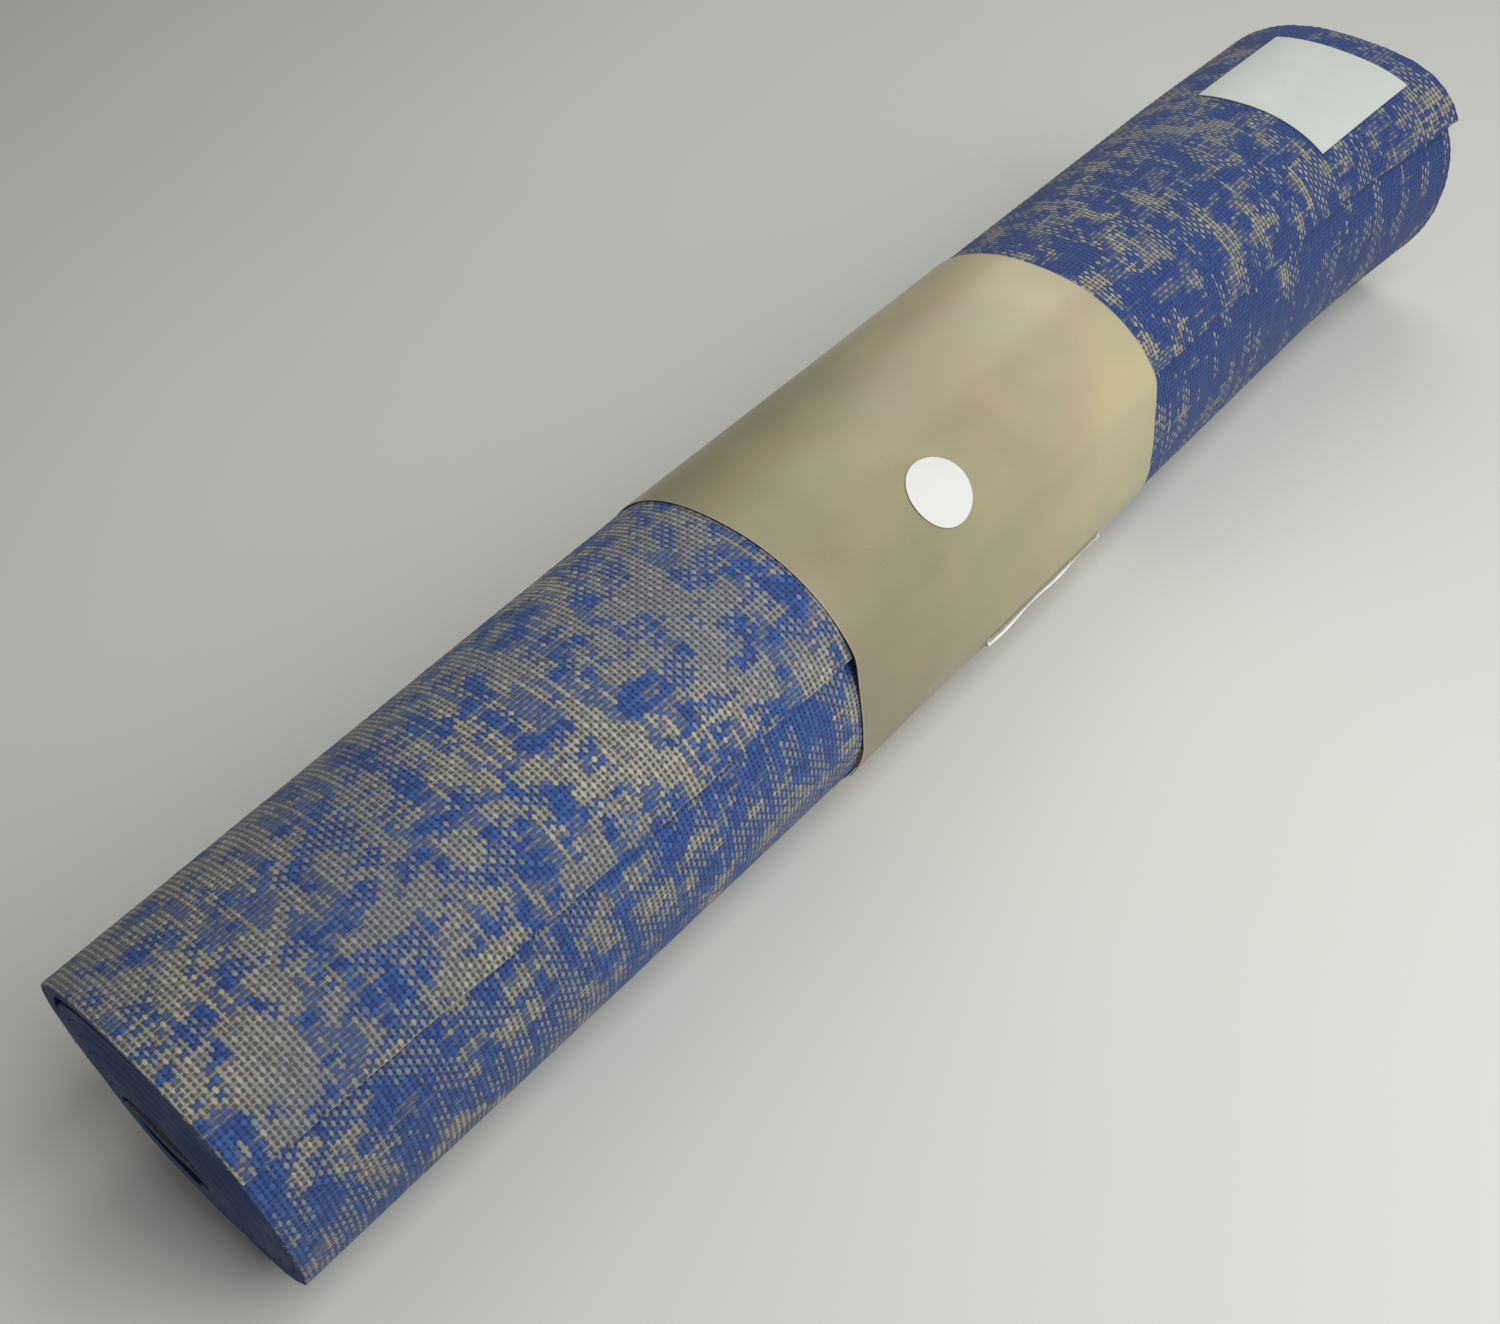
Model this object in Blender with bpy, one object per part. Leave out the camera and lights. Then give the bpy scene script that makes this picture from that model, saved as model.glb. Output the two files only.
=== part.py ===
"""A yoga mat, rolled up and held by a paper sleeve.

The mat is one sheet of two bonded layers, a foam base and a woven face, wound
face outwards round an open eye. Its length, its layers and the eye set the size
of the roll, and the sleeve, its closure tape and both labels take their size and
place from the roll. The roll lies along X with the loose edge of the sheet high
on the -Y side. It rests at z = 0 on the flattened underside of the sleeve.
"""

import math

import bmesh
import bpy

# Sheet of the mat
MAT_LENGTH = 1.83
MAT_WIDTH = 0.61
FOAM_THICKNESS = 0.0033
FACE_THICKNESS = 0.0008
BOND_GAP = 0.0003

# Winding
TURN_GAP = 0.00045
EYE_WIDTH = 0.0315
EYE_HEIGHT = 0.028
UNDERSIDE_FLAT = 0.0015
OUTLINE_EXPONENT = 2.25
LOOSE_EDGE_ANGLE = math.radians(152.0)
STEPS_PER_TURN = 40
SOLVER_STEPS = 60
LEAST_STEP_SHARE = 0.5
NEXT_TURN_SHARE = 0.25

# Label on the woven face, near the far end
LABEL_LENGTH = 0.065
LABEL_WIDTH = 0.058
LABEL_THICKNESS = 0.0003
LABEL_END_MARGIN = 0.006
LABEL_ANGLE = math.radians(101.0)

# Paper sleeve
SLEEVE_WIDTH = 0.17
SLEEVE_FROM_MIDDLE = 0.005
PAPER_THICKNESS = 0.0003
SLEEVE_CLEARANCE = 0.0003
LAP_INNER_ANGLE = math.radians(195.0)
LAP_OUTER_ANGLE = math.radians(214.0)
LAP_RAMP_ANGLE = math.radians(8.0)
LAP_GAP = 0.0003

# Closure tape over the sleeve's lap
TAPE_LENGTH = 0.07
TAPE_WIDTH = 0.03
TAPE_THICKNESS = 0.0002
TAPE_ALONG_SHARE = 0.63
TAPE_START_ANGLE = math.radians(204.0)
TAPE_STEP_ANGLE = math.radians(6.0)

# Round sticker on the sleeve
STICKER_RADIUS = 0.012
STICKER_THICKNESS = 0.0002
STICKER_ALONG_SHARE = 0.36
STICKER_ANGLE = math.radians(131.0)
STICKER_CORNERS = 32

# Gap that a glued film keeps to what carries it
FILM_GAP = 0.0003

# Shading and tolerances
SHARP_ANGLE = math.radians(30.0)
ANGLE_TOLERANCE = math.radians(0.01)
CUT_SHARE = 0.001

# Worked out from the sizes above
FULL_TURN = 2.0 * math.pi
SHEET_THICKNESS = FACE_THICKNESS + BOND_GAP + FOAM_THICKNESS
TURN_PITCH = SHEET_THICKNESS + TURN_GAP
FOAM_DEPTH = FACE_THICKNESS + BOND_GAP
UNDERSIDE_TURN = (LOOSE_EDGE_ANGLE + math.pi / 2.0) / FULL_TURN

# Colour, roughness and metallic value of each material
FINISHES = {
    "foam": ((0.012, 0.03, 0.12), 0.65, 0.0),
    "weave": ((0.05, 0.09, 0.38), 0.9, 0.0),
    "label": ((0.72, 0.74, 0.73), 0.45, 0.0),
    "paper": ((0.36, 0.31, 0.21), 0.5, 0.0),
    "tape": ((0.62, 0.58, 0.46), 0.2, 0.0),
    "sticker": ((0.86, 0.86, 0.82), 0.5, 0.0),
}


def clear_scene():
    """Remove every object that is already in the file."""
    for item in list(bpy.data.objects):
        bpy.data.objects.remove(item, do_unlink=True)


def make_material(name):
    """A Principled material with the finish kept under its name."""
    colour, roughness, metallic = FINISHES[name]
    material = bpy.data.materials.new(name)
    material.use_nodes = True
    shader = material.node_tree.nodes["Principled BSDF"]
    shader.inputs["Base Color"].default_value = (*colour, 1.0)
    shader.inputs["Roughness"].default_value = roughness
    shader.inputs["Metallic"].default_value = metallic
    material.diffuse_color = (*colour, 1.0)
    return material


def finish_object(name, mesh_edit, finish, parent=None):
    """Turn an edited mesh into a named object with its material and parent."""
    bmesh.ops.recalc_face_normals(mesh_edit, faces=mesh_edit.faces)
    if mesh_edit.calc_volume(signed=True) < 0.0:
        bmesh.ops.reverse_faces(mesh_edit, faces=mesh_edit.faces)
    mesh = bpy.data.meshes.new(name)
    mesh_edit.to_mesh(mesh)
    mesh_edit.free()
    mesh.shade_smooth()
    mesh.set_sharp_from_angle(angle=SHARP_ANGLE)
    mesh.materials.append(make_material(finish))
    item = bpy.data.objects.new(name, mesh)
    bpy.context.scene.collection.objects.link(item)
    item.parent = parent
    return item


# Shape of the winding


def outline_radius(angle, half_width, half_height):
    """Distance from the eye's middle to a rounded outline, at a polar angle."""
    across = (abs(math.cos(angle)) / half_width) ** OUTLINE_EXPONENT
    upright = (abs(math.sin(angle)) / half_height) ** OUTLINE_EXPONENT
    return (across + upright) ** (-1.0 / OUTLINE_EXPONENT)


def sheet_growth(turn, turns, depth):
    """How far outside the eye the sheet lies, at a turn and a depth in it."""
    return SHEET_THICKNESS + TURN_PITCH * (turns - turn) - depth


def sheet_point(turn, turns, depth):
    """Point (y, z) of the wound sheet, about the eye's middle.

    turn counts inwards from the loose edge and depth inwards from the face. On
    the underside each turn is pressed flat, as far in as UNDERSIDE_FLAT says.
    """
    growth = sheet_growth(turn, turns, depth)
    angle = LOOSE_EDGE_ANGLE - FULL_TURN * turn
    radius = outline_radius(angle, EYE_WIDTH / 2.0 + growth, EYE_HEIGHT / 2.0 + growth)
    y = radius * math.cos(angle)
    z = radius * math.sin(angle)
    if z < 0.0:
        passes = round(turn - UNDERSIDE_TURN)
        z = max(z, underside_level(passes, turns, depth))
    return y, z


def underside_level(passes, turns, depth):
    """Height of the flat underside of one pass of the sheet below the eye."""
    growth = sheet_growth(UNDERSIDE_TURN + passes, turns, depth)
    return UNDERSIDE_FLAT - EYE_HEIGHT / 2.0 - growth


def turn_stops(turns):
    """Turn values of the section's points, from the loose edge to the inner end."""
    whole_steps = int(turns * STEPS_PER_TURN)
    stops = [step / STEPS_PER_TURN for step in range(whole_steps + 1)]
    if turns * STEPS_PER_TURN - whole_steps > LEAST_STEP_SHARE:
        stops.append(turns)
    else:
        stops[-1] = turns
    return stops


def wound_length(turns):
    """Length of the sheet's middle layer for a number of turns."""
    points = [sheet_point(stop, turns, SHEET_THICKNESS / 2.0) for stop in turn_stops(turns)]
    return sum(math.dist(start, end) for start, end in zip(points, points[1:]))


def solve_turns():
    """Number of turns that uses up the whole length of the mat."""
    fewest = 1.0
    most = 2.0
    while wound_length(most) < MAT_LENGTH:
        most = most * 2.0
    for _ in range(SOLVER_STEPS):
        middle = (fewest + most) / 2.0
        if wound_length(middle) < MAT_LENGTH:
            fewest = middle
        else:
            most = middle
    return fewest


# Paths round the roll, on which the sleeve and the films lie


def cross(origin, first, second):
    """Signed area that tells on which side of a line a point lies."""
    left = (first[0] - origin[0]) * (second[1] - origin[1])
    return left - (first[1] - origin[1]) * (second[0] - origin[0])


def taut_outline(points):
    """Outline of a taut band round the points: their hull, anticlockwise."""
    ordered = sorted(set(points))
    halves = []
    for run in (ordered, ordered[::-1]):
        half = []
        for point in run:
            while len(half) > 1 and cross(half[-2], half[-1], point) <= 0.0:
                half.pop()
            half.append(point)
        halves.append(half[:-1])
    return halves[0] + halves[1]


def polar_angle(point):
    """Polar angle of a point about the eye's middle, from 0 to a full turn."""
    return math.atan2(point[1], point[0]) % FULL_TURN


def with_stop(outline, angle):
    """The outline with one more point, where a ray at the angle crosses it."""
    ray = (math.cos(angle), math.sin(angle))
    for index, start in enumerate(outline):
        end = outline[(index + 1) % len(outline)]
        before = start[0] * ray[1] - start[1] * ray[0]
        after = end[0] * ray[1] - end[1] * ray[0]
        if before > 0.0 >= after and start[0] * ray[0] + start[1] * ray[1] > 0.0:
            share = before / (before - after)
            point = tuple(a + (b - a) * share for a, b in zip(start, end))
            return outline[:index + 1] + [point] + outline[index + 1:]
    return outline


def edge_normal(start, end):
    """Unit normal of an edge that runs anticlockwise, pointing outwards."""
    length = math.dist(start, end)
    return (end[1] - start[1]) / length, (start[0] - end[0]) / length


def mitre(before, point, after):
    """Direction in which a point moves so that both its edges move by one unit."""
    first = edge_normal(before, point)
    second = edge_normal(point, after)
    scale = 1.0 + first[0] * second[0] + first[1] * second[1]
    return (first[0] + second[0]) / scale, (first[1] + second[1]) / scale


class Path:
    """A line in the section, with the way outwards and the length at each point."""

    def __init__(self, points, mitres, lifts):
        self.points = points
        self.mitres = mitres
        self.lifts = lifts
        self.lengths = [0.0]
        for start, end in zip(points, points[1:]):
            self.lengths.append(self.lengths[-1] + math.dist(start, end))

    def raised(self, index, lift):
        """Point of the path, moved outwards by its own lift and the given one."""
        point = self.points[index]
        way = self.mitres[index]
        total = self.lifts[index] + lift
        return point[0] + way[0] * total, point[1] + way[1] * total

    def at(self, length, lift):
        """Point (y, z) at a length along the path, raised by a lift."""
        index = 0
        while index < len(self.lengths) - 2 and length > self.lengths[index + 1]:
            index += 1
        run = self.lengths[index + 1] - self.lengths[index]
        share = (length - self.lengths[index]) / run
        start = self.raised(index, lift)
        end = self.raised(index + 1, lift)
        return tuple(a + (b - a) * share for a, b in zip(start, end))

    def length_at(self, angle):
        """Length along the path where its polar angle passes the given one."""
        for index, (start, end) in enumerate(zip(self.points, self.points[1:])):
            before = math.sin(polar_angle(start) - angle)
            after = math.sin(polar_angle(end) - angle)
            near = math.cos(polar_angle(start) - angle) > 0.0
            if near and min(before, after) <= 0.0 <= max(before, after) and before != after:
                share = before / (before - after)
                return self.lengths[index] + math.dist(start, end) * share
        return 0.0


def sleeve_path(turns, first_angle, last_angle, lift_at):
    """Path round the taut outline of the roll, anticlockwise between two angles.

    The angles may run past a full turn. lift_at gives the lift for an angle, and
    its bends are at the angles that the outline is given stops for.
    """
    face = [sheet_point(step / STEPS_PER_TURN, turns, 0.0) for step in range(STEPS_PER_TURN + 1)]
    outline = taut_outline(face)
    for angle in (LAP_INNER_ANGLE - LAP_RAMP_ANGLE, LAP_INNER_ANGLE, LAP_OUTER_ANGLE,
                  LAP_OUTER_ANGLE + TAPE_STEP_ANGLE, first_angle, last_angle):
        if not any(same_angle(polar_angle(point), angle) for point in outline):
            outline = with_stop(outline, angle)
    count = len(outline)
    first = next(i for i, point in enumerate(outline) if same_angle(polar_angle(point), first_angle))
    points = []
    mitres = []
    lifts = []
    turned = first_angle
    index = first
    while True:
        point = outline[index % count]
        points.append(point)
        mitres.append(mitre(outline[(index - 1) % count], point, outline[(index + 1) % count]))
        lifts.append(lift_at(turned))
        if turned > last_angle or math.isclose(turned, last_angle, abs_tol=ANGLE_TOLERANCE):
            break
        following = outline[(index + 1) % count]
        turned += (polar_angle(following) - polar_angle(point)) % FULL_TURN
        index += 1
    return Path(points, mitres, lifts)


def same_angle(first, second):
    """Whether two angles are the same, apart from full turns and rounding."""
    return abs(math.remainder(first - second, FULL_TURN)) < ANGLE_TOLERANCE


def paper_lift(angle):
    """Lift of the sleeve's inner side: over the lap it rides on the inner end."""
    past_ramp = angle - (FULL_TURN + LAP_INNER_ANGLE - LAP_RAMP_ANGLE)
    share = min(max(past_ramp / LAP_RAMP_ANGLE, 0.0), 1.0)
    return SLEEVE_CLEARANCE + share * (PAPER_THICKNESS + LAP_GAP)


def paper_top_lift(angle):
    """Lift of the sleeve's outer side near its lap, for what is stuck over it."""
    past_edge = angle - LAP_OUTER_ANGLE
    share = 1.0 - min(max(past_edge / TAPE_STEP_ANGLE, 0.0), 1.0)
    return SLEEVE_CLEARANCE + PAPER_THICKNESS + share * (PAPER_THICKNESS + LAP_GAP)


def plain_top_lift(angle):
    """Lift of the sleeve's outer side away from its lap."""
    return SLEEVE_CLEARANCE + PAPER_THICKNESS


def face_path(turns):
    """Path along the outside of the outermost turn, anticlockwise."""
    stops = [1.0 - step / STEPS_PER_TURN for step in range(STEPS_PER_TURN + 1)]
    points = [sheet_point(stop, turns, 0.0) for stop in stops]
    before = [points[0]] + points[:-1]
    after = points[1:] + [points[-1]]
    mitres = [edge_normal(points[0], points[1])]
    for index in range(1, len(points) - 1):
        mitres.append(mitre(before[index], points[index], after[index]))
    mitres.append(edge_normal(points[-2], points[-1]))
    return Path(points, mitres, [0.0] * len(points))


# Solids


def section_origin(turns):
    """Place (y, z) of the eye's middle, which centres and seats the roll."""
    face = [sheet_point(step / STEPS_PER_TURN, turns, 0.0) for step in range(STEPS_PER_TURN + 1)]
    sides = [point[0] for point in face]
    low = underside_level(0, turns, 0.0)
    return -(min(sides) + max(sides)) / 2.0, SLEEVE_CLEARANCE + PAPER_THICKNESS - low


def strip_solid(inner, outer, x_low, x_high):
    """Closed strip between two lines of the section, drawn out along X."""
    edit = bmesh.new()
    lows = [edit.verts.new((x_low, *point)) for point in inner]
    highs = [edit.verts.new((x_low, *point)) for point in outer]
    faces = []
    for index in range(len(inner) - 1):
        corners = (lows[index], lows[index + 1], highs[index + 1], highs[index])
        faces.append(edit.faces.new(corners))
    drawn = bmesh.ops.extrude_face_region(edit, geom=faces)
    moved = [item for item in drawn["geom"] if isinstance(item, bmesh.types.BMVert)]
    bmesh.ops.translate(edit, verts=moved, vec=(x_high - x_low, 0.0, 0.0))
    return edit


def wound_layer(name, finish, turns, top_depth, thickness, parent):
    """One layer of the sheet, wound in from the loose edge as one strip."""
    stops = turn_stops(turns)
    top = [sheet_point(stop, turns, top_depth) for stop in stops]
    bottom = [sheet_point(stop, turns, top_depth + thickness) for stop in stops]
    print(name, "least gap to itself, mm:", round(1000.0 * least_gap(bottom, top, stops), 3))
    edit = strip_solid(bottom, top, -MAT_WIDTH / 2.0, MAT_WIDTH / 2.0)
    return finish_object(name, edit, finish, parent)


def least_gap(inside, outside, stops):
    """Least distance from a layer's inside to the outside of the next turn."""
    least = math.inf
    for point, stop in zip(inside, stops):
        for index in range(len(stops) - 1):
            if abs(stops[index] - stop - 1.0) < NEXT_TURN_SHARE:
                gap = segment_distance(point, outside[index], outside[index + 1])
                least = min(least, gap)
    return least


def segment_distance(point, start, end):
    """Distance from a point to a straight run between two others."""
    run = (end[0] - start[0], end[1] - start[1])
    reach = (point[0] - start[0]) * run[0] + (point[1] - start[1]) * run[1]
    share = min(max(reach / (run[0] ** 2 + run[1] ** 2), 0.0), 1.0)
    return math.dist(point, (start[0] + run[0] * share, start[1] + run[1] * share))


def wrapped_film(name, finish, edit, path, thickness, parent):
    """A flat film, drawn in (x, length along the path), bent on to the path."""
    for length in path.lengths[1:-1]:
        everything = edit.verts[:] + edit.edges[:] + edit.faces[:]
        bmesh.ops.bisect_plane(edit, geom=everything, dist=path.lengths[1] * CUT_SHARE,
                               plane_co=(0.0, length, 0.0), plane_no=(0.0, 1.0, 0.0))
    bottom = edit.verts[:]
    drawn = bmesh.ops.extrude_face_region(edit, geom=edit.faces[:])
    top = [item for item in drawn["geom"] if isinstance(item, bmesh.types.BMVert)]
    for verts, lift in ((bottom, FILM_GAP), (top, FILM_GAP + thickness)):
        for vert in verts:
            vert.co = (vert.co.x, *path.at(vert.co.y, lift))
    return finish_object(name, edit, finish, parent)


def flat_rectangle(x_low, x_high, start, end):
    """A rectangle in (x, length along a path)."""
    edit = bmesh.new()
    corners = ((x_low, start), (x_high, start), (x_high, end), (x_low, end))
    edit.faces.new([edit.verts.new((x, length, 0.0)) for x, length in corners])
    return edit


def flat_disc(x_middle, length, radius):
    """A round disc in (x, length along a path)."""
    edit = bmesh.new()
    bmesh.ops.create_circle(edit, cap_ends=True, segments=STICKER_CORNERS, radius=radius)
    bmesh.ops.translate(edit, verts=edit.verts, vec=(x_middle, length, 0.0))
    return edit


def make_label(turns, parent):
    """Square label on the outermost turn, a margin in from the far end."""
    path = face_path(turns)
    middle = path.length_at(LABEL_ANGLE)
    far = MAT_WIDTH / 2.0 - LABEL_END_MARGIN
    edit = flat_rectangle(far - LABEL_LENGTH, far, middle - LABEL_WIDTH / 2.0, middle + LABEL_WIDTH / 2.0)
    return wrapped_film("end_label", "label", edit, path, LABEL_THICKNESS, parent)


def make_sleeve(turns, parent):
    """Paper sleeve: one strip round the roll whose outer end laps its inner end."""
    path = sleeve_path(turns, LAP_INNER_ANGLE, FULL_TURN + LAP_OUTER_ANGLE, paper_lift)
    places = range(len(path.points))
    inner = [path.raised(index, 0.0) for index in places]
    outer = [path.raised(index, PAPER_THICKNESS) for index in places]
    edit = strip_solid(inner, outer, -SLEEVE_WIDTH / 2.0, SLEEVE_WIDTH / 2.0)
    return finish_object("paper_sleeve", edit, "paper", parent)


def make_tape(turns, parent):
    """Clear tape across the sleeve's lap, stepping down over its outer end."""
    path = sleeve_path(turns, TAPE_START_ANGLE, TAPE_START_ANGLE + math.pi / 2.0, paper_top_lift)
    middle = SLEEVE_WIDTH * (TAPE_ALONG_SHARE - 1.0 / 2.0)
    edit = flat_rectangle(middle - TAPE_LENGTH / 2.0, middle + TAPE_LENGTH / 2.0, 0.0, TAPE_WIDTH)
    return wrapped_film("closure_tape", "tape", edit, path, TAPE_THICKNESS, parent)


def make_sticker(turns, parent):
    """Round sticker on the upper front of the sleeve."""
    spread = math.pi / 4.0
    path = sleeve_path(turns, STICKER_ANGLE - spread, STICKER_ANGLE + spread, plain_top_lift)
    middle = SLEEVE_WIDTH * (STICKER_ALONG_SHARE - 1.0 / 2.0)
    edit = flat_disc(middle, path.length_at(STICKER_ANGLE), STICKER_RADIUS)
    return wrapped_film("round_sticker", "sticker", edit, path, STICKER_THICKNESS, parent)


def make_empty(name, place):
    """An empty that carries the pieces of one moving group."""
    item = bpy.data.objects.new(name, None)
    bpy.context.scene.collection.objects.link(item)
    item.location = place
    return item


def main():
    """Build the roll and its sleeve."""
    clear_scene()
    turns = solve_turns()
    middle_y, middle_z = section_origin(turns)
    roll = make_empty("roll", (0.0, middle_y, middle_z))
    sleeve = make_empty("sleeve", (SLEEVE_FROM_MIDDLE, middle_y, middle_z))
    wound_layer("mat_woven_face", "weave", turns, 0.0, FACE_THICKNESS, roll)
    wound_layer("mat_foam_base", "foam", turns, FOAM_DEPTH, FOAM_THICKNESS, roll)
    make_label(turns, roll)
    make_sleeve(turns, sleeve)
    make_tape(turns, sleeve)
    make_sticker(turns, sleeve)
    bpy.context.view_layer.update()
    print("turns:", round(turns, 3))


main()
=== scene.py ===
"""Looks of a yoga mat, rolled up and held by a paper sleeve.

The mat is one sheet, wound face outwards: a woven face of tan and blue yarns on
navy foam. Both layers are drawn here as wound sheets that follow the CAD model's
winding, with what the real roll adds: a slightly tighter near end, a core that
stands a little proud, a slack innermost turn and a loose corner that curls. The
paper sleeve, its clear tape, the round sticker and the end label are thin films
laid on the roll or on each other.
"""

import logging
import math
from dataclasses import dataclass, field, replace
from enum import Enum
from typing import ClassVar, Sequence

import bmesh
import bpy
import numpy as np
from mathutils import Matrix, Vector


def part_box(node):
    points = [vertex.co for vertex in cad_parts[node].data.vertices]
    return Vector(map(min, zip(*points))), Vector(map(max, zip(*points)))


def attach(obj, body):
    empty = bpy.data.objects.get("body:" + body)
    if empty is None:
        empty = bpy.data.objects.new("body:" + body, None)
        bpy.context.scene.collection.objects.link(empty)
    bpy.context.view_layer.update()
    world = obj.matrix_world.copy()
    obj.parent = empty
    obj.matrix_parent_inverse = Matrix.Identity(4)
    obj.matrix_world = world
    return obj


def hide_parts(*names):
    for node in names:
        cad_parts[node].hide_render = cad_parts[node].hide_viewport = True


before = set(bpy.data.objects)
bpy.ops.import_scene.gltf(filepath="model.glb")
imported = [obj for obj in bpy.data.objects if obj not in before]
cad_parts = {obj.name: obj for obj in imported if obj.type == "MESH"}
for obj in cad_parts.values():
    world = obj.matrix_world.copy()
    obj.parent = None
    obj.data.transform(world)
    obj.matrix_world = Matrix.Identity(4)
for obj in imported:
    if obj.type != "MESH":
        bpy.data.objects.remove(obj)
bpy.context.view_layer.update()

LOG = logging.getLogger("rolled_mat")
FULL_TURN = 2.0 * math.pi
CLOTH_MAP = "Cloth"
BAKE_MAP = "OFBake"
VALUE = "NodeSocketFloat"
VECTOR = "NodeSocketVector"
Pair = tuple[float, float]
Triple = tuple[float, float, float]
Colour = Triple
Places = np.ndarray
Piece = bpy.types.Object
Socket = bpy.types.NodeSocket
Strand = tuple[Vector, Vector, float]


class Body(Enum):
    """The CAD bodies that the pieces ride on."""

    ROLL = "roll"
    SLEEVE = "sleeve"


class Slot(Enum):
    """Material slots of the pieces."""

    FOAM = "foam"
    WEAVE = "weave"
    LABEL = "label"
    PAPER = "paper"
    TAPE = "tape"
    STICKER = "sticker"


# Small helpers


def smooth(share: Places) -> Places:
    """Ease a share from 0 to 1, clamped at both ends."""
    share = np.clip(share, 0.0, 1.0)
    return share * share * (3.0 - 2.0 * share)


def fade(value: Places) -> Places:
    """Fall from 1 at zero to 0 at one, clamped at both ends."""
    return np.clip(1.0 - value, 0.0, 1.0)


def off_angle(angle: Places, middle: float) -> Places:
    """Angle from a middle one, from minus half a turn to half a turn."""
    return np.remainder(angle - middle + math.pi, FULL_TURN) - math.pi


def as_rows(*columns: Places) -> Places:
    """Stack values side by side along a new last axis."""
    return np.stack(np.broadcast_arrays(*columns), axis=-1)


def look_up(value: Places, stops: Places, rows: Places) -> Places:
    """Interpolate rows of two columns at values between their stops."""
    return as_rows(*(np.interp(value, stops, rows[:, axis]) for axis in (0, 1)))


def run_lengths(line: Places) -> Places:
    """Length along a flat line from its start to each of its points."""
    return np.concatenate([[0.0], np.cumsum(np.hypot(*np.diff(line, axis=0).T))])


def clear_selection() -> None:
    """Leave edit mode and deselect everything, so that operators act on new pieces only."""
    if bpy.context.object is not None and bpy.context.object.mode != "OBJECT":
        bpy.ops.object.mode_set(mode="OBJECT")
    bpy.ops.object.select_all(action="DESELECT")


def link_new(name: str, data: bpy.types.ID) -> Piece:
    """Make an object from its data and link it to the scene.

    Args:
        name: Name of the object.
        data: Its mesh, camera or lamp.

    Returns:
        The object.
    """
    item = bpy.data.objects.new(name, data)
    bpy.context.scene.collection.objects.link(item)
    return item


def read_places(mesh: bpy.types.Mesh) -> Places:
    """Read a mesh's vertices as one row of x, y, z each.

    Args:
        mesh: The mesh.

    Returns:
        An array with a row for each vertex.
    """
    flat = np.empty(len(mesh.vertices) * 3, np.float32)
    mesh.vertices.foreach_get("co", flat)
    return flat.reshape(-1, 3).astype(float)


def write_map(mesh: bpy.types.Mesh, name: str, per_vertex: Places) -> None:
    """Store a UV map that is given for each vertex.

    Args:
        mesh: The mesh that gets the map.
        name: Name of the map.
        per_vertex: One row of u, v for each vertex.
    """
    layer = mesh.uv_layers.new(name=name)
    corner = np.empty(len(mesh.loops), np.int32)
    mesh.loops.foreach_get("vertex_index", corner)
    layer.data.foreach_set("uv", per_vertex[corner].astype(np.float32).ravel())


def shade(piece: Piece, sharp_degrees: float) -> None:
    """Shade a piece smooth, with sharp edges past an angle."""
    piece.data.shade_smooth()
    piece.data.set_sharp_from_angle(angle=math.radians(sharp_degrees))


def closed_piece(name: str, places: Sequence[Places], faces: Sequence[tuple[int, ...]],
                 sharp_degrees: float) -> Piece:
    """Make a closed mesh whose faces point outwards.

    Args:
        name: Name of the piece.
        places: Arrays of vertices, one after the other.
        faces: Vertex numbers of each face.
        sharp_degrees: Angle past which an edge is shaded sharp.

    Returns:
        The object.
    """
    mesh = bpy.data.meshes.new(name)
    mesh.from_pydata(np.concatenate(places).tolist(), [], faces)
    mesh.update()
    edit = bmesh.new()
    edit.from_mesh(mesh)
    bmesh.ops.recalc_face_normals(edit, faces=edit.faces)
    if edit.calc_volume(signed=True) < 0.0:
        bmesh.ops.reverse_faces(edit, faces=edit.faces)
    edit.to_mesh(mesh)
    edit.free()
    piece = link_new(name, mesh)
    shade(piece, sharp_degrees)
    return piece


# Shape of the roll


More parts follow.
